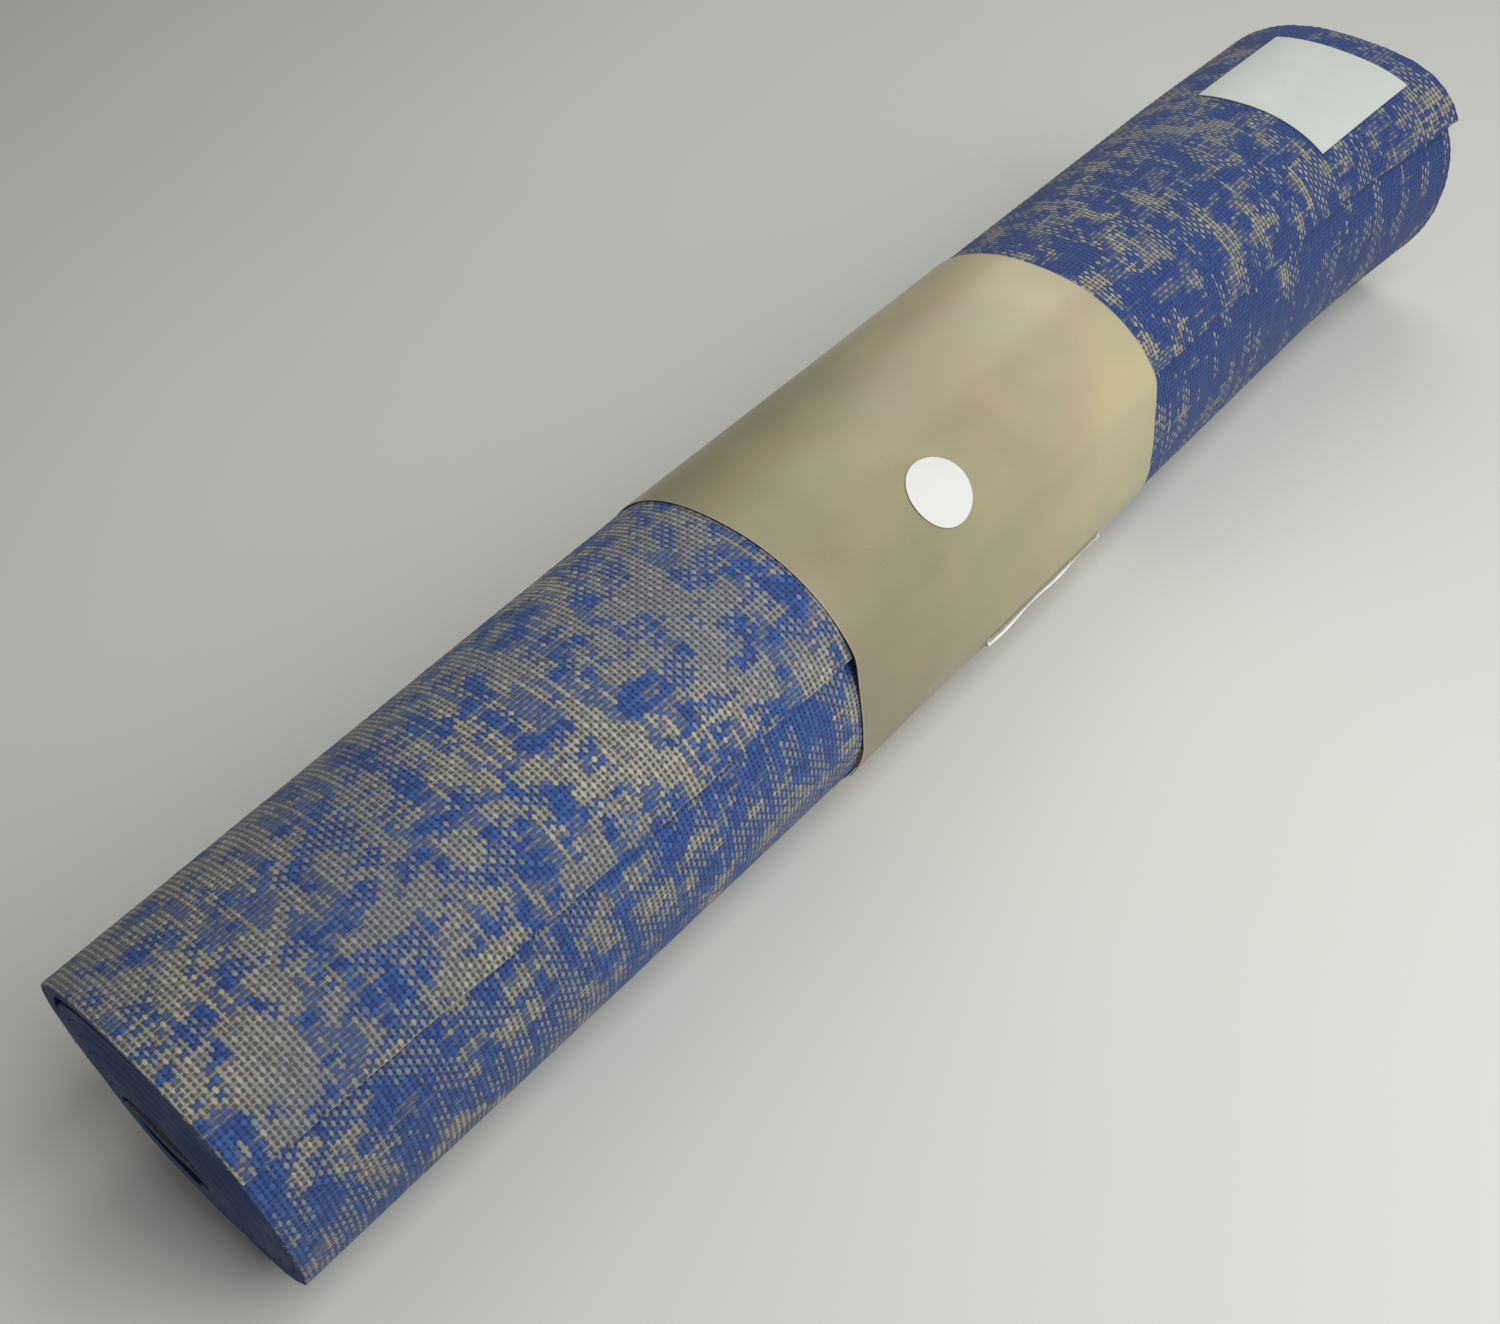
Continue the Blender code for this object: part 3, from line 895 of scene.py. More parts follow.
@dataclass(frozen=True)
class WeaveFinish:
    """Tan and blue yarns in a plain open weave over navy foam.

    Both sets of yarns are dyed in stretches, in bunches of a few yarns. Where blue
    stretches cross, the cloth is solid blue, and where two tan ones cross, it is a tan
    net with dark holes. Elsewhere the two colours alternate. Levels are noise levels,
    lower for more blue. Columns count the yarns from the near end, and rows from the
    loose edge. The yarns' colour carries painted shade at their edges, where they dive
    and towards both ends of the roll, and a painted highlight on top of the crossings.
    """

    pitches: Pair
    inner_end: float
    pale: Colour = (0.44, 0.42, 0.335)
    straw: Colour = (0.235, 0.222, 0.172)
    grey: Colour = (0.12, 0.152, 0.25)
    blue: Colour = (0.052, 0.152, 0.42)
    deep_blue: Colour = (0.025, 0.055, 0.21)
    blue_hole: Colour = (0.014, 0.028, 0.11)
    tan_hole: Colour = (0.075, 0.08, 0.1)
    near_columns: Pair = (0.0, 110.0)
    far_columns: Pair = (140.0, 225.0)
    near_level: float = 0.536
    far_level: float = 0.483
    # Painted shade: the yarns darken towards the near end and towards the far end.
    painted_near_shade: float = 0.84
    painted_far_shade: float = 0.9
    steep_rows: Pair = (130.0, 160.0)
    steep_warp: float = 0.022
    steep_weft: float = 0.075
    weft_bias: float = 0.012
    inmost_rows: Pair = (75.0, 65.0)
    inmost: float = 0.3
    broad_scale: Triple = (0.14, 0.11, 1.0)
    noise_shares: Triple = (0.38, 0.42, 0.2)
    bunch: float = 2.6
    bunch_jitter: float = 5.0
    warp_run: float = 9.5
    weft_run: float = 6.5
    single_run: float = 0.8
    frayed: float = 0.03
    step: float = 0.02
    tan_width: float = 0.27
    tan_growth: Pair = (1.15, 0.85)
    blue_width: float = 0.375
    relief: float = 0.0006

    def near_inner_end(self, n: Nodes, row: Socket) -> Socket:
        """What is added on the innermost rows, whose tan cloth shows in the eye."""
        start, end = (self.inner_end - rows for rows in self.inmost_rows)
        return n.spread(row, start, end, 0.0, self.inmost)

    def dyed(self, n: Nodes, crossing: Socket, broad: Socket,
             warp: bool) -> Socket:
        """How blue one set of yarns is, at each crossing.

        Args:
            n: The adder of the material's tree.
            crossing: Whole numbers of the crossing.
            broad: Noise that both sets of yarns share.
            warp: Whether it is for the yarns that run round the roll.

        Returns:
            A mask from 0, tan, to 1, blue.
        """
        column, row, _ = n.split(crossing)
        yarn, along = (column, row) if warp else (row, column)
        run, seed, bias = self.weft_run, 47.0, self.steep_weft
        if warp:
            run, seed, bias = self.warp_run, 21.0, self.steep_warp
        jitter = n.noise(n.join(yarn, seed), (0.7, 1.0, 1.0), seed=seed)
        bunch = n.math("DIVIDE", n.math("MULTIPLY_ADD", jitter, self.bunch_jitter, yarn), self.bunch)
        bunch = n.math("FLOOR", bunch)
        runs = n.noise(n.join(n.math("MULTIPLY", bunch, 3.73), n.math("DIVIDE", along, run)),
                       detail=1.0, seed=seed)
        short = n.math("DIVIDE", along, self.single_run * run)
        single = n.noise(n.join(n.math("MULTIPLY", yarn, 2.31), short), seed=seed + 5.0)
        level = n.math("SUBTRACT", n.total(*zip((broad, runs, single), self.noise_shares)), 0.005)
        level = n.math("MULTIPLY_ADD", n.dither(crossing, seed), self.frayed, level)
        threshold = n.spread(column, *self.far_columns, self.near_level, self.far_level)
        steep = n.math("MULTIPLY", n.spread(row, *self.steep_rows), bias)
        steep = n.math("SUBTRACT", steep, self.near_inner_end(n, row))
        threshold = n.math("SUBTRACT", threshold, steep)
        if not warp:
            threshold = n.math("SUBTRACT", threshold, self.weft_bias)
        return n.spread(n.math("SUBTRACT", level, threshold), 0.0, self.step)

    def make(self) -> bpy.types.Material:
        """Build the material.

        Returns:
            The material for the woven face.
        """
        material, n, shader = new_material("woven_yarns", 0.82)
        place = yarn_place(n, self.pitches)
        grid = use_group(n, "yarn grid", {"Place": place})
        crossing = grid.outputs["Crossing"]
        column, row, _ = n.split(crossing)
        broad = n.noise(crossing, self.broad_scale, 2.0, 0.6, 11.0)
        masks = [self.dyed(n, crossing, broad, warp) for warp in (True, False)]
        inmost = self.near_inner_end(n, row)
        widths = [n.spread(mask, 0.0, 1.0, self.tan_width * grow, self.blue_width, False)
                  for mask, grow in zip(masks, self.tan_growth)]
        widths = [n.math("ADD", width, inmost) for width in widths]
        weave = use_group(n, "weave", {"Crossing": crossing, "Offset": grid.outputs["Offset"],
                                       "Warp Width": widths[0], "Weft Width": widths[1]})
        on_top = weave.outputs["Warp On Top"]
        blue_share = n.pick(on_top, *masks)
        fibre = n.pick(on_top, n.noise(place, (11.0, 2.5, 1.0), 2.0, 0.7, 91.0),
                       n.noise(place, (2.5, 11.0, 1.0), 2.0, 0.7, 95.0))
        per_crossing = n.dither(crossing, 7.3)
        cloudy = n.spread(n.noise(crossing, (0.035, 0.035, 1.0), 1.0, seed=83.0), 0.3, 0.7)
        far = n.spread(column, *self.far_columns)
        mixed = n.math("ABSOLUTE", n.math("SUBTRACT", *masks))
        mixed = n.math("MULTIPLY", mixed, n.spread(column, *self.far_columns, 1.0, 0.6))
        tan = n.blend(n.spread(n.total((per_crossing, 0.3), (fibre, 0.7)), 0.2, 0.75), self.straw, self.pale)
        tan = n.tint(n.tint(tan, cloudy, 0.5, self.grey), mixed, 0.55, self.grey)
        blue = n.spread(n.total((per_crossing, 0.25), (fibre, 0.75)), 0.3, 0.85)
        # Painted shade: the blue yarns deepen and darken towards the far end.
        blue = n.tint(n.blend(blue, self.deep_blue, self.blue), far, 0.65, self.deep_blue)
        blue = n.tint(blue, mixed, 0.32, self.grey)
        # Painted shade on the yarns: darker at their rounded edges and where they dive under, with a painted
        # highlight on top of each crossing, the warp a little lighter than the weft, and painted shade
        # towards both ends of the roll.
        yarn_painted_shade = n.spread(weave.outputs["Edge"], 0.0, 0.9, 0.5, 1.0)
        for value, *spans in ((weave.outputs["Height"], 0.5, 0.95, 0.75, 1.05),
                              (on_top, 0.0, 1.0, 0.9, 1.08),
                              (column, *self.near_columns, self.painted_near_shade, 1.0),
                              (column, *self.far_columns, 1.0, self.painted_far_shade)):
            yarn_painted_shade = n.math("MULTIPLY", yarn_painted_shade, n.spread(value, *spans))
        yarn = n.dimmed(n.blend(blue_share, tan, blue), yarn_painted_shade)
        hole = n.blend(blue_share, self.tan_hole, self.blue_hole)
        n.feed(shader.inputs["Base Color"], n.blend(weave.outputs["Hole"], yarn, hole))
        n.feed(shader.inputs["Roughness"], n.spread(fibre, 0.3, 0.7, 0.7, 0.92))
        for name, value in (("Sheen Weight", 0.1), ("Sheen Roughness", 0.5), ("Specular IOR Level", 0.3)):
            shader.inputs[name].default_value = value
        bump(n, shader, n.math("MULTIPLY_ADD", fibre, 0.12, weave.outputs["Height"]), self.relief, 0.9)
        return material


@dataclass(frozen=True)
class GrainFinish:
    """A plain surface between two near colours, mottled and finely grained.

    Of each pair, scales and shares give the patches' value and then the grain's, and
    roughness the value outside the patches and then inside them. Yarns are the pitches
    of a weave that shows through.
    """

    name: str
    colour: Colour
    other: Colour
    scales: Pair
    shares: Pair
    roughness: Pair
    relief: float
    strength: float
    specular: float = 0.5
    height: str = "Grain"
    height_share: float = 1.0
    on_cloth: bool = False
    yarns: Pair | None = None
    yarn_width: float = 0.6
    yarn_height: float = 0.5

    def make(self) -> bpy.types.Material:
        """Build the material.

        Returns:
            The material for the surface.
        """
        rough, rougher = self.roughness
        material, n, shader = new_material(self.name, rough)
        place = n.cloth() if self.on_cloth else n.add("ShaderNodeTexCoord").outputs["Object"]
        grain = use_group(n, "grain", {"Place": place, "Patch Scale": self.scales[0],
                                       "Grain Scale": self.scales[1]})
        patches = grain.outputs["Patches"]
        share = n.total(*zip((patches, grain.outputs["Grain"]), self.shares))
        n.feed(shader.inputs["Base Color"], n.blend(share, self.colour, self.other))
        if rougher != rough:
            n.feed(shader.inputs["Roughness"], n.spread(patches, 0.0, 1.0, rough, rougher))
        shader.inputs["Specular IOR Level"].default_value = self.specular
        height = n.math("MULTIPLY", grain.outputs[self.height], self.height_share)
        if self.yarns:
            grid = use_group(n, "yarn grid", {"Place": yarn_place(n, self.yarns, 40.0)})
            weave = use_group(n, "weave", {"Crossing": grid.outputs["Crossing"],
                                           "Offset": grid.outputs["Offset"],
                                           "Warp Width": self.yarn_width, "Weft Width": self.yarn_width})
            height = n.math("MULTIPLY_ADD", weave.outputs["Height"], self.yarn_height, height)
        bump(n, shader, height, self.relief, self.strength)
        return material


FOAM = GrainFinish("navy_foam", (0.01, 0.027, 0.115), (0.016, 0.042, 0.165), scales=(60.0, 2200.0),
                   shares=(0.5, 0.5), roughness=(0.55, 0.72), relief=0.0002, strength=0.6,
                   specular=0.22, height="Height")
JUTE = GrainFinish("jute_fibre", (0.2, 0.16, 0.1), (0.5, 0.42, 0.28), scales=(220.0, 4000.0),
                   shares=(0.7, 0.3), roughness=(0.8, 0.8), relief=0.0001, strength=0.5)
FLOOR = GrainFinish("pale_floor", (0.675, 0.68, 0.635), (0.645, 0.65, 0.605), scales=(1.6, 700.0),
                    shares=(1.0, 0.0), roughness=(0.6, 0.6), relief=0.0002, strength=0.15, specular=0.3)
STICKER = GrainFinish("sticker_paper", (0.72, 0.72, 0.695), (0.675, 0.675, 0.655), scales=(55.0, 2600.0),
                      shares=(0.6, 0.25), roughness=(0.39, 0.53), relief=0.00025, strength=0.5,
                      height_share=0.1, on_cloth=True)
LABEL = replace(STICKER, name="label_film", colour=(0.575, 0.605, 0.57), other=(0.53, 0.56, 0.53),
                roughness=(0.34, 0.48))


@dataclass(frozen=True)
class PaperFinish:
    """Coated paper with a soft sheen, clouded from khaki to brown and grey-green."""

    khaki: Colour = (0.44, 0.395, 0.225)
    brown: Colour = (0.38, 0.305, 0.205)
    green: Colour = (0.33, 0.32, 0.2)
    edge: Colour = (0.4, 0.3, 0.22)
    half_width: float = 0.085
    cut_edge: Pair = (0.0009, 0.0002)
    # Painted shade and light: the paper darkens towards its near edge and brightens towards its far edge.
    painted_shade_and_light: tuple[float, ...] = (-0.07, 0.07, 0.68, 1.12)
    least_rough: float = 0.17
    relief: float = 0.0022

    def make(self) -> bpy.types.Material:
        """Build the material.

        Returns:
            The material for the sleeve.
        """
        material, n, shader = new_material("sleeve_paper", 0.42)
        cloth = n.cloth()
        grain = use_group(n, "grain", {"Place": cloth, "Patch Scale": 38.0, "Grain Scale": 1500.0})
        patches, tint, fine = (grain.outputs[name] for name in ("Patches", "Tint", "Grain"))
        broad = n.noise(cloth, (11.0, 11.0, 1.0), 2.0, 0.5, 4.0)
        along = n.split(cloth)[0]
        colour = n.blend(n.spread(broad, 0.35, 0.65), self.khaki, self.brown)
        colour = n.tint(n.tint(colour, tint, 0.6, self.green), patches, 0.22, self.khaki)
        # Painted shade towards the near edge and painted light towards the far edge.
        colour = n.dimmed(colour, n.spread(along, *self.painted_shade_and_light))
        cut = n.spread(n.math("ABSOLUTE", along), *(self.half_width - inset for inset in self.cut_edge))
        n.feed(shader.inputs["Base Color"], n.tint(colour, cut, 0.6, self.edge))
        rough = n.total((patches, 0.14), (fine, 0.12), (broad, 0.1))
        n.feed(shader.inputs["Roughness"], n.math("ADD", rough, self.least_rough))
        creases = n.noise(cloth, (30.0, 12.0, 1.0), 1.0, 0.5, 14.0)
        bump(n, shader, n.math("MULTIPLY_ADD", fine, 0.03, creases), self.relief, 0.4)
        return material


@dataclass(frozen=True)
class TapeFinish:
    """Clear glossy tape, with a painted highlight along its lifted edge and at its cut ends."""

    film: Colour = (0.5, 0.46, 0.34)
    # Colour of the painted highlight on the ridge and the cut ends.
    painted_glint: Colour = (0.93, 0.93, 0.9)
    half_length: float = 0.035
    crease: float = -0.012
    uneven: float = 0.0011
    line: Pair = (0.0004, -0.0002)
    cut_edge: Pair = (0.0012, 0.0003)
    relief: float = 0.0006

    def make(self) -> bpy.types.Material:
        """Build the material.

        Returns:
            The material for the tape.
        """
        material, n, shader = new_material("clear_tape", 0.1)
        cloth = n.cloth()
        along, across, _ = n.split(cloth)
        wobble = n.noise(cloth, (60.0, 60.0, 1.0), 2.0, 0.6, 6.0)
        line = n.math("ABSOLUTE", n.math("SUBTRACT", across, self.crease))
        line = n.math("SUBTRACT", line, n.math("MULTIPLY", wobble, self.uneven))
        ends = n.spread(n.math("ABSOLUTE", along), *(self.half_length - inset for inset in self.cut_edge))
        # Painted highlight: a pale, less clear line along the ridge and at the cut ends.
        share = n.math("MAXIMUM", n.spread(line, *self.line), n.math("MULTIPLY", ends, 0.8))
        n.feed(shader.inputs["Base Color"], n.blend(share, self.film, self.painted_glint))
        n.feed(shader.inputs["Alpha"], n.math("MULTIPLY_ADD", share, 0.7, 0.22, clamp=True))
        n.feed(shader.inputs["Roughness"], n.spread(wobble, 0.3, 0.7, 0.08, 0.2))
        bump(n, shader, wobble, self.relief, 0.4)
        return material


Finish = WeaveFinish | GrainFinish | PaperFinish | TapeFinish


def dress(piece: Piece, finish: Finish, body: Body, slot: Slot,
          *nodes: str) -> Piece:
    """Give a piece its material and body, and hide the CAD nodes it stands for.

    Args:
        piece: The piece.
        finish: What makes its material.
        body: The CAD body that it rides on.
        slot: The slot for its finish; not used.
        nodes: The CAD nodes that it replaces.

    Returns:
        The same piece.
    """
    piece.data.materials.append(finish.make())
    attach(piece, body.value)
    if nodes:
        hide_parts(*nodes)
    return piece


# The mat


@dataclass
class WovenFace:
    """The woven face: every yarn crossing of the outermost turn, and plain turns inside it.

    A strip of the bake map is given by its start and its size.
    """

    shape: RollShape
    columns: int = 332
    pitch_round: float = 0.00186
    fine_turns: float = 1.03
    seam_turns: float = 0.012
    coarse_per_turn: int = 60
    sharp_degrees: float = 50.0
    thickness: float = 0.0006
    warp_rise: float = 0.00013
    weft_rise: float = -0.00005
    yarn_spread: float = 0.00003
    rise_limits: Pair = (-0.00015, 0.0002)
    ragged: float = 0.00035
    ragged_turns: float = 0.002
    edge_fade: float = 0.003
    end_fade: float = 0.002
    recess: float = 0.0009
    seed: int = 7
    inner_stops: tuple[float, ...] = (0.0, 0.001, 0.004, 0.012, 0.03, 0.055, 0.09, 0.15, 0.22)
    bake_margin: float = 0.003
    across_strip: Pair = (0.005, 0.99)
    outer_strip: Pair = (0.005, 0.885)
    inner_strip: Pair = (0.9, 0.04)
    under_strip: Pair = (0.95, 0.045)
    under_margin: float = 1.05

    def __post_init__(self) -> None:
        """Work out the yarn pitch along the roll and the inner columns."""
        self.pitch_along = self.shape.width / (self.columns - 1)
        self.inner_x = self.shape.columns(self.inner_stops)

    def bake_place(self, x: Places, length: Places, top: bool) -> Places:
        """Place in the bake map: the outermost turn fills most of it.

        Args:
            x: Places along the roll.
            length: Lengths from the loose edge.
            top: Whether it is the outer skin.

        Returns:
            Rows of u, v from 0 to 1.
        """
        shape = self.shape
        fine_length = shape.length_at(self.fine_turns)
        start, size = self.across_strip
        u = start + size * (x - shape.near_x + self.bake_margin) / (shape.width + 2.0 * self.bake_margin)
        if not top:
            start, size = self.under_strip
            return as_rows(u, start + size * length / (shape.length * self.under_margin))
        start, size = self.outer_strip
        outer = start + size * length / fine_length
        start, size = self.inner_strip
        inner = start + size * ((length - fine_length) / shape.length)
        return as_rows(u, np.where(length <= fine_length, outer, inner))

    def outer_grid(self, rng: np.random.Generator) -> tuple[Places, ...]:
        """The outermost turn, with a vertex at every crossing.

        Args:
            rng: Source of the yarns' unevenness.

        Returns:
            Places, cloth map, bake map, and the stops along and round.
        """
        shape = self.shape
        rows = int(shape.length_at(self.fine_turns) / self.pitch_round) + 1
        x = shape.near_x + np.arange(self.columns) * self.pitch_along
        length = np.arange(rows) * self.pitch_round
        turn = shape.turn_at(length)
        along, around = np.meshgrid(np.arange(self.columns), np.arange(rows))
        rise = np.where((along + around) % 2 == 0, self.warp_rise, self.weft_rise)
        rise = rise + rng.normal(0.0, self.yarn_spread, self.columns)[None, :]
        rise = rise + rng.normal(0.0, self.yarn_spread, rows)[:, None]
        wave, frill = (np.convolve(rng.normal(0.0, self.ragged, count), np.ones(3) / 3.0, mode="same")
                       for count in (self.columns, rows))
        edge_in = np.exp(-length / self.edge_fade)[:, None]
        ragged_turn = turn[:, None] + edge_in * (wave / shape.length_at(1.0))[None, :]
        end_in = np.exp(-(x - shape.near_x) / self.end_fade) - np.exp(-(shape.far_x - x) / self.end_fade)
        ragged_x = x[None, :] + end_in[None, :] * np.abs(frill)[:, None]
        places = shape.place(ragged_x, np.maximum(ragged_turn, -self.ragged_turns),
                             -np.clip(rise, *self.rise_limits))
        flat = (x[None, :], length[:, None])
        return places, shape.flat_place(*flat), self.bake_place(*flat, True), x, turn

    def inner_grid(self, turn: Places, depth: float, top: bool) -> tuple[Places, Places, Places]:
        """A plain grid of turns, which stops short of the foam's ends where a turn covers it.

        Args:
            turn: Turns of its rows.
            depth: Depth below the face.
            top: Whether it is the outer skin.

        Returns:
            Places, cloth map and bake map.
        """
        share = self.inner_x / self.shape.far_x
        inset = self.recess * self.shape.tucked(turn)[:, None]
        x = self.inner_x[None, :] - inset * share[None, :] ** 3
        length = self.shape.length_at(turn)[:, None]
        places = self.shape.place(x, turn[:, None], depth)
        return places, self.shape.flat_place(x, length), self.bake_place(x, length, top)

    def build(self) -> Piece:
        """Build the face as one closed thin sheet, and dress it.

        Returns:
            The finished piece.
        """
        draft = MeshDraft()
        outer, cloth, bake, x, fine_turn = self.outer_grid(np.random.default_rng(self.seed))
        fine = draft.grid(outer, cloth, bake)
        inner_turn = self.shape.mesh_turns(fine_turn[-1] + self.seam_turns, self.coarse_per_turn)
        inner = draft.grid(*self.inner_grid(inner_turn, 0.0, True))
        under_turn = self.shape.mesh_turns(0.0, self.coarse_per_turn)
        under = draft.grid(*self.inner_grid(under_turn, self.thickness, False), flip=True)
        draft.zip(fine[-1], x, inner[0], self.inner_x)
        draft.zip(fine[0], x, under[0], self.inner_x)
        draft.zip(inner[-1], self.inner_x, under[-1], self.inner_x)
        top_turn = np.concatenate([fine_turn, inner_turn])
        for side in (0, -1):
            chain = np.concatenate([fine[:, side], inner[:, side]])
            draft.zip(chain, top_turn, under[:, side], under_turn)
        piece = draft.build("woven_face", self.sharp_degrees)
        finish = WeaveFinish((self.pitch_along, self.pitch_round), self.shape.length / self.pitch_round)
        return dress(piece, finish, Body.ROLL, Slot.WEAVE, "mat_woven_face")


@dataclass
class FoamBase:
    """The foam under the woven face, wound with it and filling the turns."""

    shape: RollShape
    top_depth: float = 0.0007
    bottom_gap: float = 0.00006
    per_turn: int = 60
    sharp_degrees: float = 35.0
    lip: float = 0.00062
    lip_start: float = 0.0008
    lip_ease: float = 0.0007
    round_off: float = 0.0001
    round_reach: float = 0.0003
    free_rounding: float = 3.0
    bake_rows: float = 2.2
    bottom_shift: Pair = (0.0, 0.5)
    stops: tuple[float, ...] = (0.0, 0.0003, 0.0008, 0.0015, 0.004, 0.012, 0.022, 0.034, 0.048, 0.065,
                                0.09, 0.13, 0.18, 0.24)

    def depths(self, x: Places, turn: Places) -> tuple[Places, Places]:
        """Depth of the foam's top and bottom, which close up to its neighbours at the ends.

        Args:
            x: Places along the roll.
            turn: Turns of the rows.

        Returns:
            The two depths.
        """
        from_end = self.shape.far_x - np.abs(x)
        near_end = 1.0 - smooth((from_end - self.lip_start) / self.lip_ease)
        tucked = self.shape.tucked(turn)
        free = 1.0 + self.free_rounding * (1.0 - tucked)
        rounding = self.round_off * free * fade(from_end / self.round_reach) ** 2
        top = self.top_depth - self.lip * near_end * tucked + rounding
        return top, self.shape.sheet + self.shape.turn_gap - self.bottom_gap - rounding

    def build(self) -> Piece:
        """Build the foam as one closed wound sheet, and dress it.

        Returns:
            The finished piece.
        """
        along = self.shape.columns(self.stops)
        turn = self.shape.mesh_turns(0.0, self.per_turn)
        x, rows = along[None, :], turn[:, None]
        flat = self.shape.flat_place(x, self.shape.length_at(rows))
        scaled = flat / np.array([self.shape.width, self.shape.length * self.bake_rows])
        draft = MeshDraft()
        top_depth, bottom_depth = self.depths(x, rows)
        top = draft.grid(self.shape.place(x, rows, top_depth), flat, scaled)
        bottom = draft.grid(self.shape.place(x, rows, bottom_depth), flat,
                            scaled + np.array(self.bottom_shift), flip=True)
        for side in (0, -1):
            draft.zip(top[side], along, bottom[side], along)
        for side in (0, -1):
            draft.zip(top[:, side], turn, bottom[:, side], turn)
        piece = draft.build("foam_base", self.sharp_degrees)
        return dress(piece, FOAM, Body.ROLL, Slot.FOAM, "mat_foam_base")


@dataclass
class ThreadEnds:
    """Frayed ends of yarn along the mat's cut edges, and one long loose thread.

    End strands stick out of the two ends and loose ones out of the loose edge. Their
    depths, droops outwards and sways sideways are drawn between two limits.
    """

    shape: RollShape
    near_count: int = 70
    far_count: int = 60
    loose_count: int = 110
    radius: float = 0.0001
    tip: float = 0.35
    cuts: tuple[float, ...] = (0.33, 0.66)
    sharp_degrees: float = 60.0
    lookout: float = 0.001
    beside_turns: float = 0.002
    inside: Pair = (0.004, 0.0003)
    bend: float = 0.25
    last_turn: float = 0.98
    forwards: float = 0.6
    end_depth: Pair = (0.0, 0.0003)
    end_droop: Pair = (-0.6, 0.1)
    end_sway: Pair = (-1.2, 1.2)
    end_length: Pair = (0.0003, 0.0009)
    loose_depth: Pair = (0.0001, 0.0005)
    loose_droop: Pair = (-0.5, 0.1)
    loose_sway: Pair = (-0.9, 0.9)
    loose_length: Pair = (0.0004, 0.0012)
    long_steps: int = 16
    long_angles: Pair = (165.0, 47.0)
    long_x: float = 0.2525
    long_wander: float = 0.0095
    long_swing: float = 2.6
    long_lift: float = 0.0005
    long_overlap: float = 1.1
    seed: int = 19

    def strand(self) -> tuple[Places, list[tuple[int, ...]]]:
        """One tapered strand along +Z, one unit long, of four sides.

        Returns:
            Its vertices and faces.
        """
        clear_selection()
        bpy.ops.mesh.primitive_cone_add(vertices=4, radius1=1.0, radius2=self.tip, depth=1.0,
                                        location=(0.0, 0.0, 0.5))
        model = bpy.context.object
        bpy.ops.object.transform_apply(location=True, rotation=True, scale=True)
        bpy.ops.object.mode_set(mode="EDIT")
        for share in self.cuts:
            bpy.ops.mesh.select_all(action="SELECT")
            bpy.ops.mesh.bisect(plane_co=(0.0, 0.0, share), plane_no=(0.0, 0.0, 1.0))
        bpy.ops.object.mode_set(mode="OBJECT")
        places = read_places(model.data)
        faces = [tuple(face.vertices) for face in model.data.polygons]
        bpy.data.objects.remove(model, do_unlink=True)
        return places, faces

    def long_thread(self) -> list[Strand]:
        """One long loose thread that lies on the steep side near the far end.

        Returns:
            Root, direction and length of each of its short stretches.
        """
        share = np.linspace(0.0, 1.0, self.long_steps + 1)
        start, sweep = self.long_angles
        turn = 1.0 + (self.shape.loose_angle - np.radians(start + sweep * share)) / FULL_TURN
        x = self.long_x + self.long_wander * np.sin(share * self.long_swing)
        line = self.shape.place(x, turn, -self.long_lift)
        steps = [(start, end - start) for start, end in zip(line[:-1], line[1:])]
        return [(Vector(start), Vector(step).normalized(), self.long_overlap * float(np.linalg.norm(step)))
                for start, step in steps]

    def outwards(self, x: float, turn: float) -> Vector:
        """Direction out of the face at a place on it."""
        above = self.shape.place(x, turn, -self.lookout)
        return Vector(above - self.shape.place(x, turn, 0.0)).normalized()

    def roots(self, rng: np.random.Generator) -> list[Strand]:
        """Where each frayed strand starts, which way it points and how long it is.

        Args:
            rng: Source of the strands' unevenness.

        Returns:
            Root, direction and length of each strand.
        """
        found = []
        place = self.shape.place
        plans = ((self.near_count, self.shape.near_x, -1.0), (self.far_count, self.shape.far_x, 1.0))
        for count, x, way in plans:
            for turn in np.sort(rng.uniform(0.0, self.last_turn, count)):
                root = place(x, turn, rng.uniform(*self.end_depth))
                beside = place(x, turn + self.beside_turns, 0.0) - place(x, turn, 0.0)
                aim = Vector((self.forwards * way, 0.0, 0.0))
                aim += self.outwards(x, turn) * rng.uniform(*self.end_droop)
                aim += Vector(beside).normalized() * rng.uniform(*self.end_sway)
                found.append((Vector(root), aim.normalized(), rng.uniform(*self.end_length)))
        for x in np.sort(rng.uniform(self.shape.near_x, self.shape.far_x, self.loose_count)):
            root = place(x, 0.0, rng.uniform(*self.loose_depth))
            aim = Vector(root - place(x, *self.inside)).normalized()
            aim += self.outwards(x, 0.0) * rng.uniform(*self.loose_droop)
            aim += Vector((rng.uniform(*self.loose_sway), 0.0, 0.0))
            found.append((Vector(root), aim.normalized(), rng.uniform(*self.loose_length)))
        return found

    def build(self) -> Piece:
        """Copy the strand to every root, and dress the strands.

        Returns:
            One piece of separate closed strands.
        """
        rng = np.random.default_rng(self.seed)
        model, faces = self.strand()
        places, all_faces = [], []
        frayed = self.roots(rng)
        for number, (root, aim, length) in enumerate(frayed + self.long_thread()):
            turn = aim.to_track_quat("Z", "X").to_matrix()
            bend = rng.uniform(-self.bend, self.bend, 2) * length * (number < len(frayed))
            local = model * np.array([self.radius, self.radius, length])
            local[:, :2] += bend[None, :] * (model[:, 2:3] ** 2)
            places.append(local @ np.array(turn).T + np.array(root))
            start = number * len(model)
            all_faces.extend(tuple(corner + start for corner in face) for face in faces)
        piece = closed_piece("thread_ends", places, all_faces, self.sharp_degrees)
        return dress(piece, JUTE, Body.ROLL, Slot.WEAVE)


# Films laid on the roll and on the sleeve


